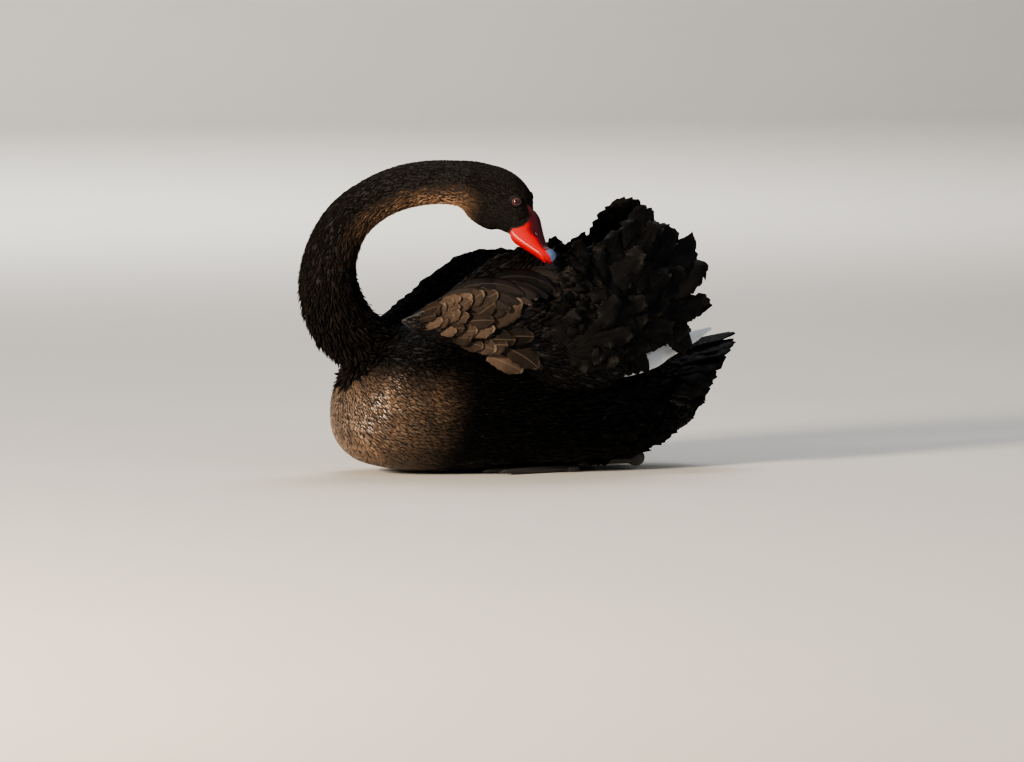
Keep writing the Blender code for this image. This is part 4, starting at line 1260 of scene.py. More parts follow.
    def build(
        self, nodes: dict[str, bpy.types.Object], skin_finish: SkinFinish,
        neck_finish: bpy.types.Material, breast_finish: bpy.types.Material,
        body_finish: bpy.types.Material,
    ) -> None:
        """Builds the skin and its coat, in pieces.

        Args:
            nodes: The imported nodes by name.
            skin_finish: Finish of the skin.
            neck_finish: Finish of the head's and neck's feathers.
            breast_finish: Finish of the breast's and flanks' feathers.
            body_finish: Finish of the rump's feathers.
        """
        skin = self.skin(nodes)
        surface = Surface(skin)
        Piece("skin", Slot.BODY, skin_finish.build(), FLESH).place_bmesh(skin)
        draw = np.random.default_rng(SEED)
        coat = Coat(surface, draw)
        bed, rows = self.neck_bed(surface, draw)
        stretches = (
            ("head_coat", 0.0, HEAD_ROW, PLUSH), ("upper_neck_coat", HEAD_ROW, 4.6, POINTED),
            ("middle_neck_coat", 4.6, 6.4, POINTED), ("lower_neck_coat", 6.4, 20.0, POINTED),
        )
        for name, first, last, plume in stretches:
            part = bed.part((rows >= first) & (rows < last))
            Piece(name, Slot.NECK, neck_finish).place(coat.grow(name, part, plume))
        feet = [nodes[name] for name in ("foot_left", "foot_right", "leg_left", "leg_right")]
        low = [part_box(node.name) for node in feet]

        def under_feet(points: Rows) -> Rows:
            """Whether points are by the feet and shanks, under the belly."""
            hidden = np.zeros(len(points), bool)
            for least, most in low:
                near = np.all((points > np.array(least) - 0.004) & (points < np.array(most) + 0.004), axis=1)
                hidden |= near
            return hidden & (points[:, 2] < 0.03)

        bed = self.body_bed(surface, draw, under_feet)
        fore = bed.roots[:, 0] < -0.085
        middle = ~fore & (bed.roots[:, 0] < 0.075)
        regions = (
            ("breast_coat", fore, SILKY, breast_finish), ("flank_coat", middle, SILKY, breast_finish),
            ("rump_coat", ~fore & ~middle, RAGGED, body_finish),
        )
        for name, mask, plume, finish in regions:
            Piece(name, Slot.BODY, finish).place(coat.grow(name, bed.part(mask), plume))


@dataclass
class Head:
    """Bill, eyes and lids, on the face's own axes."""

    face: Face
    # Share of the bill's length and half width there.
    half_width: tuple[tuple[float, float], ...] = (
        (-0.06, 0.0128), (0.0, 0.0153), (0.15, 0.0149), (0.35, 0.0139), (0.8, 0.0134), (0.9, 0.0116),
        (0.96, 0.0088), (1.0, 0.0030),
    )
    culmen: tuple[tuple[float, float], ...] = (
        (-0.06, 0.0174), (0.0, 0.0179), (0.14, 0.0168), (0.33, 0.0110), (0.53, 0.0052), (0.72, 0.0012),
        (0.82, 0.0036), (0.94, 0.0034), (1.0, -0.0020),
    )
    mouth: tuple[tuple[float, float], ...] = (
        (-0.06, -0.0180), (0.0, -0.0198), (0.12, -0.0206), (0.3, -0.0190), (0.55, -0.0151),
        (0.8, -0.0112), (1.0, -0.0106),
    )
    chin: tuple[tuple[float, float], ...] = (
        (-0.06, -0.0192), (0.0, -0.0234), (0.1, -0.0280), (0.2, -0.0288), (0.4, -0.0255),
        (0.64, -0.0208), (0.8, -0.0176), (1.0, -0.0150),
    )
    lower_share: float = 0.93
    lower_width: float = 0.88
    parting: float = 0.0003
    steps: int = 44
    arc_steps: int = 28
    nostril_at: float = 0.42
    nostril_rise: float = 0.66
    nostril_size: tuple[float, float, float] = (0.0052, 0.0020, 0.0019)
    lid_along: float = 0.0042
    lid_up: float = 0.0055
    lid_rim: float = 0.0008

    def bill_half(self, edge: Sequence[Sequence[float]], dome: Sequence[Sequence[float]],
                  length_share: float, width_share: float, sign: int) -> bmesh.types.BMesh:
        """One half of the bill, flat along the mouth and domed outside.

        Args:
            edge: Height of the mouth line along the bill.
            dome: Height of the outer ridge along the bill.
            length_share: Length as a share of the whole bill.
            width_share: Width as a share of the whole bill.
            sign: 1 for the upper half and -1 for the lower.

        Returns:
            The bmesh, open to marks.
        """
        face, rings = self.face, []
        shares = np.sin(np.linspace(-0.06, 0.5 * math.pi, self.steps))
        widths = profile(self.half_width, shares) * width_share
        flats = profile(edge, shares * length_share) + sign * self.parting
        domes = profile(dome, shares)
        arc = np.linspace(0, math.pi, self.arc_steps + 1)
        for share, width, flat, top in zip(shares, widths, flats, domes):
            place = face.base + face.forward * face.length * length_share * share
            across = list(width * np.cos(arc)) + list(width * np.linspace(-0.9, 0.9, 9))
            bow = 0.0006 * (1 - np.linspace(-1, 1, 9) ** 2)
            rise = list(flat + (top - flat) * np.sin(arc) ** 0.85) + list(flat - sign * 0.0006 + sign * bow)
            rings.append(np.array([place + face.side * a + face.crown * r for a, r in zip(across, rise)]))
        return loft(rings)

    def mark(self, bm: bmesh.types.BMesh) -> None:
        """Writes how far along the bill each vertex is, and how high between mouth and ridge."""
        place = self.face.local(np.array([v.co for v in bm.verts], float))
        reach = place[:, 0] / self.face.length
        low, high = profile(self.mouth, reach), profile(self.culmen, reach)
        rise = np.clip((place[:, 1] - low) / (high - low), 0, 1)
        for label, numbers in (("Reach", reach), ("Rise", rise)):
            layer = bm.verts.layers.float.new(label)
            for vertex, number in zip(bm.verts, numbers.tolist()):
                vertex[layer] = number

    def nostril(self, side: Side) -> bpy.types.Object:
        """A cutter for the nostril on one side of the upper bill."""
        face = self.face
        outer = face.side * (1.0 if side is Side.LEFT else -1.0)
        width = float(profile(self.half_width, self.nostril_at)[0])
        low, high = (float(profile(table, self.nostril_at)[0]) for table in (self.mouth, self.culmen))
        centre = face.base + face.forward * face.length * self.nostril_at
        centre = centre + outer * 0.78 * width + face.crown * (low + self.nostril_rise * (high - low))
        out, up = unit(outer + face.crown * 0.8), unit(face.crown - outer * 0.8)
        matrix = Matrix.Identity(4)
        for column, (axis, size) in enumerate(zip((face.forward, out, up), self.nostril_size)):
            for row in range(3):
                matrix[row][column] = axis[row] * size
                matrix[row][3] = centre[row]
        bm = bmesh.new()
        bmesh.ops.create_uvsphere(bm, u_segments=20, v_segments=12, radius=1, matrix=matrix)
        bmesh.ops.recalc_face_normals(bm, faces=bm.faces)
        mesh = bpy.data.meshes.new("nostril_cutter")
        bm.to_mesh(mesh)
        bm.free()
        cutter = bpy.data.objects.new("nostril_cutter", mesh)
        bpy.context.scene.collection.objects.link(cutter)
        return cutter

    def build_bill(self, finish: bpy.types.Material) -> None:
        """Builds both halves of the bill, with nostrils in the upper one."""
        lower = self.bill_half(self.mouth, self.chin, self.lower_share, self.lower_width, -1)
        self.mark(lower)
        Piece("bill_lower_horn", Slot.BILL, finish, ("bill_lower",)).place_bmesh(lower)
        upper = self.bill_half(self.mouth, self.culmen, 1.0, 1.0, 1)
        mesh = bpy.data.meshes.new("bill_helper")
        upper.to_mesh(mesh)
        upper.free()
        helper = bpy.data.objects.new("bill_helper", mesh)
        bpy.context.scene.collection.objects.link(helper)
        cutters = [self.nostril(side) for side in Side]
        for cutter in cutters:
            cut = helper.modifiers.new("nostril", "BOOLEAN")
            cut.operation = "DIFFERENCE"
            cut.solver = "EXACT"
            cut.object = cutter
        bm = bmesh.new()
        bm.from_object(helper, bpy.context.evaluated_depsgraph_get())
        for spare in (helper, *cutters):
            bpy.data.objects.remove(spare, do_unlink=True)
        self.mark(bm)
        Piece("bill_upper_horn", Slot.BILL, finish, ("bill_upper",)).place_bmesh(bm, 45.0)

    def build_eye(self, side: Side, finish: bpy.types.Material, lid_finish: bpy.types.Material) -> None:
        """Builds one eyeball and the rim of its lids.

        Args:
            side: Which eye.
            finish: Finish of the eyeball.
            lid_finish: Finish of the lids.
        """
        centre, gaze, radius = self.face.eyes[side], self.face.gaze(side), self.face.eye_radius
        along = unit(self.face.head_way() - self.face.head_way().dot(gaze) * gaze)
        up = unit(np.cross(along, gaze))
        bm = bmesh.new()
        bmesh.ops.create_uvsphere(
            bm, u_segments=48, v_segments=32, radius=radius, matrix=Matrix.Translation(Vector(centre))
        )
        layer = bm.verts.layers.float.new("Gaze")
        for vertex in bm.verts:
            arm = np.array(vertex.co) - centre
            spread = math.hypot(arm.dot(along) / self.lid_along, arm.dot(up) / self.lid_up)
            vertex[layer] = spread if arm.dot(gaze) > 0 else 2.0
        Piece("eyeball_" + side.word, Slot.EYE, finish, ("eye_" + side.word,)).place_bmesh(bm, 180.0)
        rim = bmesh.new()
        section = bmesh.ops.create_circle(rim, segments=10, radius=self.lid_rim)["verts"]
        for vertex in section:
            across, lift, _ = vertex.co
            vertex.co = Vector(along * (1 + across) + gaze * lift)
        bmesh.ops.spin(
            rim, geom=list(rim.edges) + section, cent=(0, 0, 0), axis=Vector(gaze), dvec=(0, 0, 0),
            angle=2 * math.pi, steps=48, use_merge=True,
        )
        for vertex in rim.verts:
            point = np.array(vertex.co)
            height = point.dot(gaze)
            flat = point - gaze * height
            spoke = unit(flat)
            thick = float(np.linalg.norm(flat)) - 1
            reach = 1 / math.hypot(spoke.dot(along) / self.lid_along, spoke.dot(up) / self.lid_up)
            seat = math.sqrt(radius**2 - reach**2)
            vertex.co = Vector(centre + spoke * (reach + thick) + gaze * (seat + height))
        shade = rim.verts.layers.float.new("Shade")
        for vertex in rim.verts:
            arm = np.array(vertex.co) - centre
            vertex[shade] = float(1 - smooth_step(-0.0008, 0.0030, -arm.dot(along)))
        bmesh.ops.recalc_face_normals(rim, faces=rim.faces)
        Piece("lids_" + side.word, Slot.NECK, lid_finish).place_bmesh(rim, 180.0)


@dataclass
class Wing:
    """One raised wing: its arm, rows of coverts, curled inner feathers and hand quills."""

    side: Side
    shift: tuple[float, float, float] = (0.0, 0.0, 0.0)
    shell_radius: float = 0.28
    shell_low_radius: float = 0.12
    shell_centre: float = 0.18
    shell_offset: float = 0.130
    shell_front: tuple[float, float, float] = (0.0, 0.16, 0.036)
    shell_rear: tuple[float, float, float] = (0.05, 0.185, 0.045)
    # Arm stations: x, bottom, top, thickness outwards and inwards.
    arm: tuple[tuple[float, ...], ...] = (
        (-0.178, 0.200, 0.206, 0.001, 0.002), (-0.165, 0.193, 0.213, 0.004, 0.008),
        (-0.132, 0.184, 0.234, 0.008, 0.022), (-0.095, 0.176, 0.262, 0.010, 0.028),
        (-0.055, 0.158, 0.286, 0.011, 0.026), (-0.020, 0.136, 0.291, 0.011, 0.022),
        (0.015, 0.114, 0.290, 0.009, 0.016), (0.050, 0.108, 0.280, 0.008, 0.011),
        (0.085, 0.112, 0.256, 0.006, 0.008), (0.120, 0.134, 0.215, 0.003, 0.003),
    )
    # Outline of the pale brown patch as x and z. It follows the lit part of the wing, so its paler brown is partly
    # brown coverts and partly painted light.
    patch: tuple[tuple[float, float], ...] = (
        (-0.152, 0.206), (-0.138, 0.219), (-0.112, 0.229), (-0.074, 0.226), (-0.048, 0.212),
        (-0.036, 0.190), (-0.044, 0.158), (-0.066, 0.164), (-0.100, 0.178), (-0.140, 0.193),
    )
    # Middle of the dark feathers that hang over the hand quills: x, distance out, z.
    hanging: tuple[tuple[float, float, float], ...] = (
        (0.128, 0.106, 0.200), (0.176, 0.102, 0.182), (0.204, 0.088, 0.154),
    )
    hanging_front: int = 8
    arm_drop: float = 1.5
    coat_depth: float = 0.0025
    fan_centre: tuple[float, float] = (0.02, 0.16)
    # Reach of the fan's tips against their angle in degrees above the tail line.
    fan_reach: tuple[tuple[float, float], ...] = (
        (-14, 0.125), (-5, 0.135), (3, 0.160), (8, 0.190), (13, 0.215), (20, 0.231), (25, 0.236),
        (30, 0.252), (35, 0.230), (41, 0.238), (47, 0.240), (52, 0.239), (56, 0.198), (60, 0.160),
        (68, 0.148), (78, 0.136), (84, 0.130), (96, 0.118),
    )
    # Tiers of curled feathers: count, highest and lowest angle, root, tip share,
    # half width, lift at the tip.
    tiers: tuple[tuple[float, ...], ...] = (
        (20, 84, 15, 0.085, 1.00, 0.0185, 0.000),
        (17, 86, 8, 0.070, 0.88, 0.0175, 0.002),
        (16, 92, 0, 0.050, 0.73, 0.0170, 0.004),
        (14, 97, -8, 0.030, 0.57, 0.0160, 0.006),
        (12, 100, -14, 0.010, 0.42, 0.0150, 0.007),
    )

    def shell_reach(self, x: Rows, z: Rows) -> Rows:
        """How far the wing's middle surface stands out from the bird's middle plane."""
        radius = np.where(z > self.shell_centre, self.shell_radius, self.shell_low_radius)
        arc = np.sqrt(np.maximum(radius**2 - (z - self.shell_centre) ** 2, 0.0)) - radius
        front_from, front_span, front_drop = self.shell_front
        rear_from, rear_span, rear_drop = self.shell_rear
        ahead = np.maximum(0.0, front_from - x) / front_span
        behind = np.maximum(0.0, x - rear_from) / rear_span
        return self.shell_offset + arc - front_drop * ahead**2 - rear_drop * behind**2

    def shell(self, x: Rows, z: Rows, lift: Rows) -> tuple[Rows, Rows]:
        """Points lifted from the wing's middle surface, and its outward normals."""
        step, sign = 0.002, self.side.value
        slope_x = (self.shell_reach(x + step, z) - self.shell_reach(x - step, z)) / (2 * step)
        slope_z = (self.shell_reach(x, z + step) - self.shell_reach(x, z - step)) / (2 * step)
        normals = unit(np.stack((-slope_x, np.full_like(x, sign), -slope_z), axis=-1))
        points = np.stack((x, sign * self.shell_reach(x, z), z), axis=-1)
        return points + normals * np.asarray(lift)[..., None] + np.array(self.shift), normals

    def arm_bulge(self, x: Rows, z: Rows) -> Rows:
        """How far the arm's outer face stands out from the middle surface."""
        stations = [row[0] for row in self.arm]
        places = np.interp(x.ravel(), stations, np.arange(len(stations)))
        rows = smooth_rows(self.arm, places)
        share = (z.ravel() - rows[:, 1]) / (rows[:, 2] - rows[:, 1])
        bulge = rows[:, 3] * np.sqrt(np.clip(1 - (2 * share - 1) ** 2, 0, 1))
        inside = (x.ravel() > stations[0]) & (x.ravel() < stations[-1])
        return np.where(inside, bulge, 0.0).reshape(x.shape)

    def arm_skin(self) -> bmesh.types.BMesh:
        """The arm under the coverts, sunk by their depth."""
        rows = smooth_rows(self.arm, np.linspace(0, len(self.arm) - 1, 44))
        turns = np.linspace(0, 2 * math.pi, 36, endpoint=False)
        rings = []
        for x, bottom, top, outer, inner in rows:
            thick = np.where(turns < math.pi, outer, inner) - self.coat_depth
            z = 0.5 * (bottom + top) - 0.5 * (top - bottom - 2 * self.coat_depth) * np.cos(turns)
            z = z + np.minimum(0.0, self.arm_drop * inner * np.sin(turns))
            lift = np.maximum(thick, 0.0005) * np.sin(turns)
            rings.append(self.shell(np.full_like(z, x), z, lift)[0])
        return loft(rings)

    def lie(self, points: Rows, normals: Rows) -> Rows:
        """The way the coverts lie: back along the arm, and out from the fan's centre behind."""
        x, z = points[:, 0] - self.shift[0], points[:, 2] - self.shift[2]
        forearm = np.radians(-18 + 45 * (z - 0.16) / 0.12)
        fan = np.arctan2(z - self.fan_centre[1], np.maximum(x - self.fan_centre[0] + 0.05, 0.01))
        share = smooth_step(-0.07, 0.03, x)
        angle = forearm * (1 - share) + fan * share
        way = np.stack((np.cos(angle), np.zeros_like(angle), np.sin(angle)), axis=1)
        return unit(way - dot(way, normals) * normals)

    def build_coverts(self, finishes: "Finishes") -> None:
        """Builds the arm's skin and the small feathers on both of its faces."""
        word, draw = self.side.word, np.random.default_rng(SEED + 10 + self.side.value)
        skin = self.arm_skin()
        surface = Surface(skin)
        Piece("arm_skin_" + word, Slot.WING, finishes.arm_skin).place_bmesh(skin)

        def spacing(points: Rows, _: Rows) -> Rows:
            """Distance between roots, small along the leading edge."""
            return 0.0032 + 0.0020 * smooth_step(-0.16, -0.02, points[:, 0])

        roots, normals = surface.scatter(spacing, draw)
        x, z = roots[:, 0], roots[:, 2]
        outside = normals[:, 1] * self.side.value > -0.2
        size = smooth_step(-0.17, -0.06, x)
        count = len(roots)
        lengths = 0.011 + 0.011 * size
        lifts = 0.0006 + 0.0006 * draw.random(count)
        curls = 0.0004 + 0.0030 * smooth_step(-0.02, 0.05, x)
        browns = 0.10 + 0.15 * draw.random(count)
        unwrap = np.stack(
            ((x + 0.20) / 0.36 * 0.48 + np.where(outside, 0.0, 0.5), (z - 0.08) / 0.24), axis=1
        )
        bed = Bed(roots, normals, self.lie(roots, normals), lengths, lifts, curls, browns, unwrap)
        coat = Coat(surface, draw)
        Piece("coverts_" + word, Slot.WING, finishes.covert).place(coat.grow("coverts", bed, SILKY))
        for row in self.soft_coverts(surface, draw):
            Piece("soft_coverts_" + word, Slot.WING, finishes.soft_covert).place(row.mesh("soft", draw))

    def in_patch(self, x: Rows, z: Rows) -> Rows:
        """Whether places on the wing lie in the patch of pale brown coverts."""
        inside = np.zeros(x.shape, bool)
        corners = self.patch
        for (x0, z0), (x1, z1) in zip(corners, corners[1:] + corners[:1]):
            crosses = ((z0 > z) != (z1 > z)) & (x < (x1 - x0) * (z - z0) / (z1 - z0 + 1e-12) + x0)
            inside ^= crosses
        return inside

    def soft_coverts(self, surface: Surface, draw: np.random.Generator) -> list[VaneRow]:
        """Broad soft feathers of the pale brown patch on the wing's outer face, whose paler brown is partly painted
        light.

        Args:
            surface: The arm's skin.
            draw: The seeded random source.

        Returns:
            One row of vanes.
        """

        def spacing(points: Rows, normals: Rows) -> Rows:
            """Distance between roots, 0 off the patch."""
            x, z = points[:, 0] - self.shift[0], points[:, 2] - self.shift[2]
            grows = self.in_patch(x, z) & (normals[:, 1] * self.side.value > 0.2)
            return np.where(grows, 0.0074 + 0.0076 * smooth_step(-0.14, -0.05, x), 0.0)

        roots, _ = surface.scatter(spacing, draw)
        x, z = roots[:, 0] - self.shift[0], roots[:, 2] - self.shift[2]
        count, size = len(x), smooth_step(-0.145, -0.050, x)
        angle = -20 + 46 * smooth_step(0.160, 0.204, z) - 12 * smooth_step(-0.075, -0.035, x)
        angle = angle + draw.uniform(-12, 12, count)
        length = (0.022 + 0.024 * size) * draw.uniform(0.8, 1.2, count)
        lifts = (0.0036 + 0.0020 * draw.random(count), 0.0030 * draw.random(count) ** 2)
        start = np.stack((x - 0.35 * length, z - 0.10 * length), axis=1)
        centres, ups = self.path(start, angle, length, draw.uniform(-12, 6, count), lifts, SOFT.rows)
        turn = np.radians(angle)
        downs = np.stack((np.sin(turn), np.zeros(count), -np.cos(turn)), axis=1)[:, None]
        widths = (0.0070 + 0.0068 * size) * draw.uniform(0.85, 1.15, count)
        tilts, twists = np.radians(draw.uniform(2, 8, count)), np.radians(draw.uniform(-8, 8, count))
        # The patch's paler brown: partly brown coverts and partly painted light.
        browns = 0.30 + 0.70 * draw.random(count)
        return [VaneRow(SOFT, centres, ups, widths, downs, tilts, twists, browns)]

    def path(self, start: Rows, angle: Rows, length: Rows, sway: Rows, lifts: tuple[Rows, Rows],
             rows: int) -> tuple[Rows, Rows]:
        """Points and normals of vanes that leave places on the wing.

        Args:
            start: Roots as x and z.
            angle: Angles above the tail line at the root, in degrees.
            length: Lengths.
            sway: How much the angles grow towards the tip, in degrees.
            lifts: Lift at the tip, and the flick of the last part.
            rows: Points on each path.

        Returns:
            Points and normals, a path a row.
        """
        share = np.linspace(0, 1, rows)[None, :]
        turn = np.radians(angle[:, None] + sway[:, None] * share)
        x = start[:, :1] + length[:, None] * share * np.cos(turn)
        z = start[:, 1:] + length[:, None] * share * np.sin(turn)
        lift, flick = lifts
        height = self.arm_bulge(x, z) - 0.003 * (1 - share) + lift[:, None] * share
        return self.shell(x, z, height + flick[:, None] * share**3)

    def fan(self, draw: np.random.Generator) -> list[VaneRow]:
        """The tiers of curled feathers that stand up and back from the wing."""
        made = []
        for count, high, low, root_reach, tip_share, half_width, lift in self.tiers:
            count = int(count)
            angle = np.linspace(high, low, count) + draw.uniform(-2.0, 2.0, count)
            reach = profile(self.fan_reach, angle) * tip_share * draw.uniform(0.94, 1.02, count)
            root = np.minimum(root_reach, 0.42 * reach)
            turn = np.radians(angle)
            start = np.stack(
                (self.fan_centre[0] + root * np.cos(turn), self.fan_centre[1] + root * np.sin(turn)), axis=1
            )
            sway = draw.uniform(-9, 9, count)
            flick = 0.016 * draw.random(count) ** 2 - 0.004
            centres, ups = self.path(start, angle, reach - root, sway, (np.full(count, lift), flick), FRILL.rows)
            downs = np.stack((np.sin(turn), np.zeros(count), -np.cos(turn)), axis=1)[:, None]
            widths = half_width * draw.uniform(0.8, 1.2, count)
            tilts = np.full(count, math.radians(8))
            twists = np.radians(draw.uniform(-32, 32, count))
            browns = 0.05 + 0.25 * draw.random(count)
            made.append(VaneRow(FRILL, centres, ups, widths, downs, tilts, twists, browns))
        return made

    def scapulars(self, draw: np.random.Generator) -> list[VaneRow]:
        """Long arched feathers along the top of the arm.

        Args:
            draw: The seeded random source.

        Returns:
            One row of vanes.
        """
        count = 18
        share = np.linspace(0, 1, count)
        start = np.stack((-0.128 + 0.112 * share, 0.226 + 0.038 * share), axis=1)
        start = start + draw.uniform(-0.004, 0.004, (count, 2))
        angle = 42 - 34 * share + draw.uniform(-3, 3, count)
        length = (0.082 + 0.012 * share) * draw.uniform(0.88, 1.1, count)
        flick = 0.002 * draw.random(count)
        sway = -42 + 14 * share + draw.uniform(-5, 5, count)
        centres, ups = self.path(start, angle, length, sway, (np.full(count, 0.0045), flick), LONG.rows)
        turn = np.radians(angle)
        downs = np.stack((np.sin(turn), np.zeros(count), -np.cos(turn)), axis=1)[:, None]
        widths = 0.0098 * draw.uniform(0.85, 1.1, count)
        tilts, twists = np.full(count, math.radians(6)), np.radians(draw.uniform(-6, 6, count))
        return [VaneRow(LONG, centres, ups, widths, downs, tilts, twists, 0.15 + 0.45 * draw.random(count))]

    def build_fan(self, finishes: "Finishes") -> None:
        """Builds the curled feathers and the scapulars, a piece for each tier."""
        draw = np.random.default_rng(SEED + 20 + self.side.value)
        word = self.side.word
        for i, row in enumerate(self.fan(draw)):
            replaced = ("wing_" + word,) if i == 0 else ()
            mesh = row.mesh("tier", draw)
            Piece(f"curled_tier_{i + 1}_{word}", Slot.WING, finishes.curled, replaced).place(mesh)
        for row in self.scapulars(draw):
            Piece("scapulars_" + word, Slot.WING, finishes.scapular).place(row.mesh("scapulars", draw))

    def build_primaries(self, finishes: "Finishes") -> None:
        """Builds the folded white hand quills and the dark feathers that hang over them.

        Args:
            finishes: The bird's materials.
        """
        draw, word, sign = np.random.default_rng(SEED + 30), self.side.word, self.side.value
        count, share = 9, np.linspace(0, 1, QUILL.rows)
        order = np.linspace(0, 5, count)[:, None]
        stack = 0.0018 * (order - 2.5)
        root = np.hstack((np.full((count, 1), 0.060), sign * (0.1045 - stack), 0.128 - stack))
        bend = np.array((0.160, 0.0870, 0.149)) + np.array((-0.006, 0.0030, -0.0034)) * (order - 2.5)
        tip = np.array((0.252, 0.048, 0.183)) + np.array((-0.0155, 0.0070, -0.0058)) * order
        rows = np.stack((root, bend * (1, sign, 1), tip * (1, sign, 1)))
        centres = smooth_rows(rows.reshape(3, -1), 2 * share).reshape(QUILL.rows, count, 3).swapaxes(0, 1)
        ups = np.broadcast_to(unit(np.array((0.3, sign, 0.55))), centres.shape)
        downs = np.broadcast_to(np.array((0.0, 0.0, -1.0)), (count, 1, 3))
        widths = np.full(count, 0.0108) * draw.uniform(0.9, 1.05, count)
        row = VaneRow(QUILL, centres, ups, widths, downs, np.full(count, 0.06), np.zeros(count), np.zeros(count))
        mesh = row.mesh("primaries", draw)
        Piece("hand_quills_" + word, Slot.WHITE_QUILL, finishes.white, (f"wing_{word}_primaries",)).place(mesh)
        paths = [smooth_rows(self.hanging, 2 * np.linspace(0, 1, LONG.rows)) + (0.0, 0.0, 0.0)]
        paths += [paths[0] + (0.010, 0.0, 0.006)]
        for i in range(self.hanging_front):
            share = i / (self.hanging_front - 1)
            paths.append(paths[0] + (-0.050 - 0.086 * share, 0.007 + 0.011 * share, -0.023 - 0.014 * share))
        centres = np.stack(paths) * (1, sign, 1)
        count = len(paths)
        ups = np.broadcast_to(unit(np.array((0.1, sign, 0.25))), centres.shape)
        downs = np.broadcast_to(np.array((0.0, 0.0, -1.0)), (count, 1, 3))
        widths = 0.0105 * draw.uniform(0.9, 1.2, count)
        row = VaneRow(LONG, centres, ups, widths, downs, np.full(count, 0.1), np.zeros(count), np.full(count, 0.1))
        Piece("hanging_feathers_" + word, Slot.WING, finishes.curled).place(row.mesh("hanging", draw))


@dataclass
class Tail:
    """The tail's fan of quills, high in the middle."""

    quills: int = 22
    roots: tuple[tuple[float, ...], ...] = ((0.186, 0.0, 0.146), (0.186, 0.032, 0.128), (0.184, 0.056, 0.100))
    tips: tuple[tuple[float, ...], ...] = (
        (0.299, 0.0, 0.177), (0.288, 0.034, 0.160), (0.260, 0.064, 0.128), (0.228, 0.090, 0.086),
    )
    half_width: float = 0.0175
    bend: float = 0.004

    def build(self, finish: bpy.types.Material) -> None:
        """Builds the quills as one piece."""
        draw = np.random.default_rng(SEED + 40)
        place = -1 + 2 * (np.arange(self.quills) + 0.5) / self.quills
        edge, half = np.abs(place), np.sign(place)
        mirror = np.stack((np.ones_like(half), half, np.ones_like(half)), axis=1)
        root = smooth_rows(self.roots, edge * 2) * mirror
        tip = smooth_rows(self.tips, np.interp(edge, (0, 0.35, 0.65, 1), (0, 1, 2, 3))) * mirror
        tip = tip + draw.normal(0, 0.0022, tip.shape) * (1, 0.5, 0.5) - (0.001, 0, 0)
        normal = unit(np.stack((np.full_like(edge, -0.2), half * (0.15 + 0.95 * edge), np.ones_like(edge)), axis=1))
        share = np.linspace(0, 1, RUDDER.rows)[None, :, None]
        bow = normal[:, None] * self.bend * np.sin(math.pi * share)
        centres = root[:, None] + (tip - root)[:, None] * share + bow
        ups = np.broadcast_to(normal[:, None], centres.shape)
        downs = np.stack((np.zeros_like(half), half, np.full_like(half, -0.5)), axis=1)[:, None]
        count = self.quills
        widths = self.half_width * draw.uniform(0.9, 1.1, count)
        twists = draw.uniform(-0.2, 0.2, count)
        row = VaneRow(RUDDER, centres, ups, widths, downs, np.full(count, 0.14), twists, np.full(count, 0.1))
        Piece("tail_quills", Slot.BODY, finish, ("tail",)).place(row.mesh("tail", draw))


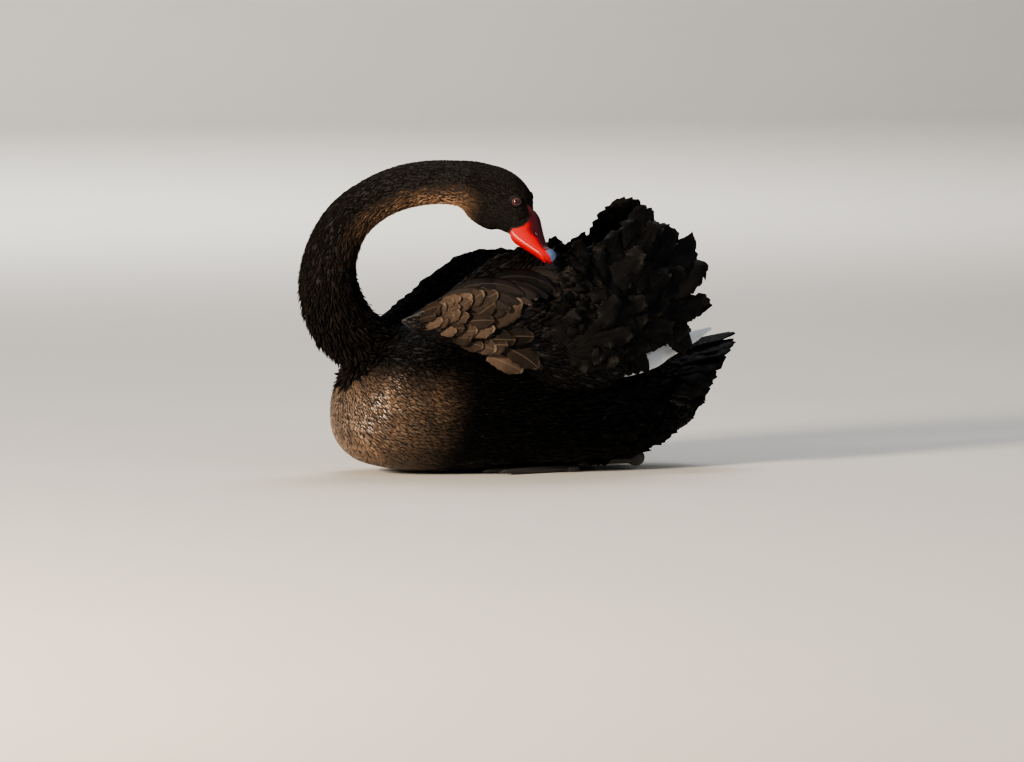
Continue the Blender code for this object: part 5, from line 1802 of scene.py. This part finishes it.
@dataclass
class Studio:
    """Pale floor, soft light and the camera at the photograph's viewing angle."""

    azimuth: float = math.radians(-17)
    elevation: float = math.radians(4)
    distance: float = 10.0
    view_width: float = 1.3312
    aim: tuple[float, float, float] = (-0.0028, 0.0042, 0.1154)
    sensor: float = 36.0

    def back(self) -> Vector:
        """The way from the bird to the camera."""
        flat = math.cos(self.elevation)
        return Vector((math.sin(self.azimuth) * flat, -math.cos(self.azimuth) * flat, math.sin(self.elevation)))

    def build_camera(self) -> None:
        """Sets the camera with the photograph's framing."""
        data = bpy.data.cameras.new("camera")
        data.sensor_width = self.sensor
        data.lens = self.sensor * self.distance / self.view_width
        data.clip_end = 60.0
        camera = bpy.data.objects.new("camera", data)
        camera.location = Vector(self.aim) + self.back() * self.distance
        camera.rotation_euler = (-self.back()).to_track_quat("-Z", "Y").to_euler()
        bpy.context.scene.collection.objects.link(camera)
        bpy.context.scene.camera = camera

    def build_floor(self) -> None:
        """A floor that curves up into a backdrop far behind the bird."""
        bm = bmesh.new()
        line = [(-14.0, 0.0), (12.0, 0.0)]
        line += [(12.0 + 2.0 * math.sin(a), 2.0 - 2.0 * math.cos(a)) for a in np.linspace(0.1, 1.5, 10)]
        line.append((14.0, 9.0))
        points = [bm.verts.new((-16.0, y, z - 0.0002)) for y, z in line]
        edges = [bm.edges.new(pair) for pair in zip(points, points[1:])]
        made = bmesh.ops.extrude_edge_only(bm, edges=edges)["geom"]
        moved = [g for g in made if isinstance(g, bmesh.types.BMVert)]
        bmesh.ops.translate(bm, verts=moved, vec=(32.0, 0.0, 0.0))
        bmesh.ops.recalc_face_normals(bm, faces=bm.faces)
        mesh = bpy.data.meshes.new("floor")
        bm.to_mesh(mesh)
        bm.free()
        mesh.shade_smooth()
        mesh.materials.append(FloorFinish().build())
        floor = bpy.data.objects.new("floor", mesh)
        bpy.context.scene.collection.objects.link(floor)

    def area_light(self, name: str, place: tuple[float, float, float], size: float, power: float,
                   colour: tuple[float, float, float], aim: tuple[float, float, float] = (0.0, 0.0, 0.15)) -> None:
        """Adds a square soft light that faces a point.

        Args:
            name: The light's name.
            place: Where it stands.
            size: Length of its side.
            power: Its power in watts.
            colour: Its colour.
            aim: The point that it faces, the bird's middle if not given.
        """
        data = bpy.data.lights.new(name, "AREA")
        data.size, data.energy, data.color = size, power, colour
        light = bpy.data.objects.new(name, data)
        light.location = place
        towards = Vector(aim) - Vector(place)
        light.rotation_euler = towards.to_track_quat("-Z", "Y").to_euler()
        bpy.context.scene.collection.objects.link(light)

    def build_lights(self) -> None:
        """Warm key from the front left, soft fill, a light from above and one on the backdrop."""
        self.area_light("key", (-4.0, -2.4, 1.5), 0.9, 430.0, (1.0, 0.84, 0.66))
        self.area_light("fill", (1.8, -4.2, 2.6), 3.0, 40.0, (0.92, 0.96, 1.0))
        self.area_light("top", (0.6, 1.6, 3.6), 2.4, 70.0, (0.95, 0.97, 1.0))
        self.area_light("backdrop", (0.0, 7.0, 4.5), 5.0, 520.0, (1.0, 0.98, 0.95), (0.0, 10.5, 0.0))
        world = bpy.data.worlds.new("studio air")
        world.use_nodes = True
        ground = world.node_tree.nodes["Background"]
        ground.inputs["Color"].default_value = (0.80, 0.84, 0.90, 1.0)
        ground.inputs["Strength"].default_value = 0.20
        bpy.context.scene.world = world
        bpy.context.scene.view_settings.look = "AgX - Medium High Contrast"

    def build(self) -> None:
        """Builds the floor, the lights and the camera."""
        self.build_floor()
        self.build_lights()
        self.build_camera()


@dataclass
class Finishes:
    """All materials that the bird's pieces wear, each built once."""

    def __post_init__(self) -> None:
        """Builds the materials."""
        # The neck's brown and pale fringe show where the Brown attribute is high; under the arch this is partly
        # painted light.
        self.neck = PlumageFinish(
            "neck plumage", (0.0019, 0.0016, 0.0015, 1), (0.310, 0.186, 0.115, 1), (0.360, 0.245, 0.165, 1),
            rim=0.24, barbs=6.0, rough_low=0.50, rough_high=0.74, sheen=0.008, specular=0.10, spread=0.9,
            fringe_by_brown=0.97,
        ).build()
        self.body = PlumageFinish(
            "body plumage", (0.0014, 0.0013, 0.0014, 1), (0.020, 0.013, 0.010, 1), (0.006, 0.005, 0.005, 1),
            rim=0.22, barbs=18.0, rough_low=0.45, rough_high=0.70, sheen=0.0, specular=0.08,
        ).build()
        # The breast's brown and pale fringe show only where the Brown attribute marks its lit front: partly brown
        # feathers and partly painted light.
        self.breast = PlumageFinish(
            "breast plumage", (0.0013, 0.0012, 0.0012, 1), (0.215, 0.138, 0.090, 1), (0.330, 0.235, 0.160, 1),
            rim=0.10, barbs=18.0, rough_low=0.45, rough_high=0.70, sheen=0.0, specular=0.09, wet=0.50,
            spread=0.40, fringe_by_brown=1.0, coat=1.0,
        ).build()
        self.covert = PlumageFinish(
            "wing coverts", (0.0024, 0.0025, 0.0031, 1), (0.030, 0.022, 0.018, 1), (0.012, 0.010, 0.010, 1),
            rim=0.26, barbs=18.0, rough_low=0.42, rough_high=0.62, sheen=0.0, specular=0.14,
        ).build()
        # Soft coverts of the wing's patch: their brown and pale fringe are partly painted light.
        self.soft_covert = PlumageFinish(
            "soft coverts", (0.0036, 0.0029, 0.0026, 1), (0.058, 0.040, 0.029, 1), (0.200, 0.152, 0.112, 1),
            rim=0.17, barbs=34.0, rough_low=0.50, rough_high=0.72, sheen=0.01, specular=0.14, bump=0.6,
            spread=0.95,
        ).build()
        self.curled = PlumageFinish(
            "curled feathers", (0.0015, 0.0014, 0.0015, 1), (0.012, 0.010, 0.009, 1), (0.016, 0.013, 0.011, 1),
            rim=0.10, barbs=46.0, rough_low=0.42, rough_high=0.64, sheen=0.0, specular=0.13,
        ).build()
        self.scapular = PlumageFinish(
            "scapulars", (0.0034, 0.0031, 0.0033, 1), (0.032, 0.024, 0.020, 1), (0.100, 0.082, 0.070, 1),
            rim=0.07, barbs=46.0, rough_low=0.36, rough_high=0.54, sheen=0.0, specular=0.18,
        ).build()
        self.white = PlumageFinish(
            "white quills", (0.70, 0.73, 0.77, 1), (0.60, 0.58, 0.54, 1), (0.82, 0.84, 0.86, 1),
            rim=0.10, barbs=60.0, rough_low=0.45, rough_high=0.6, spread=0.12,
        ).build()
        self.bill = BillFinish().build()
        self.eye = EyeFinish().build()
        self.arm_skin = LeatherFinish("arm down", (0.008, 0.007, 0.007, 1), (0.004, 0.004, 0.004, 1), 500.0).build()
        self.lid = LeatherFinish("lids", (0.20, 0.070, 0.074, 1), (0.016, 0.006, 0.006, 1), 1400.0, bump=0.3).build()
        self.foot = LeatherFinish("foot scales", (0.045, 0.042, 0.042, 1), (0.015, 0.014, 0.014, 1), 420.0).build()


def dress_feet(nodes: dict[str, bpy.types.Object], finish: bpy.types.Material) -> None:
    """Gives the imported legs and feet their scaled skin."""
    for side in Side:
        for part in ("leg_", "foot_"):
            node = nodes[part + side.word]
            node.data.materials.clear()
            node.data.materials.append(finish)


def main() -> None:
    """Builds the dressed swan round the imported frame."""
    logging.basicConfig(level=logging.INFO, format="%(name)s %(message)s")
    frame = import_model()
    finishes, face = Finishes(), Face()
    Torso(face).build(frame["nodes"], SkinFinish(), finishes.neck, finishes.breast, finishes.body)
    head = Head(face)
    head.build_bill(finishes.bill)
    for side in Side:
        head.build_eye(side, finishes.eye, finishes.lid)
    for wing in (Wing(Side.LEFT), Wing(Side.RIGHT, shift=(0.015, 0.0, -0.009))):
        wing.build_coverts(finishes)
        wing.build_fan(finishes)
        wing.build_primaries(finishes)
    Tail().build(finishes.body)
    dress_feet(frame["nodes"], finishes.foot)
    Studio().build()


if __name__ == "__main__":
    main()
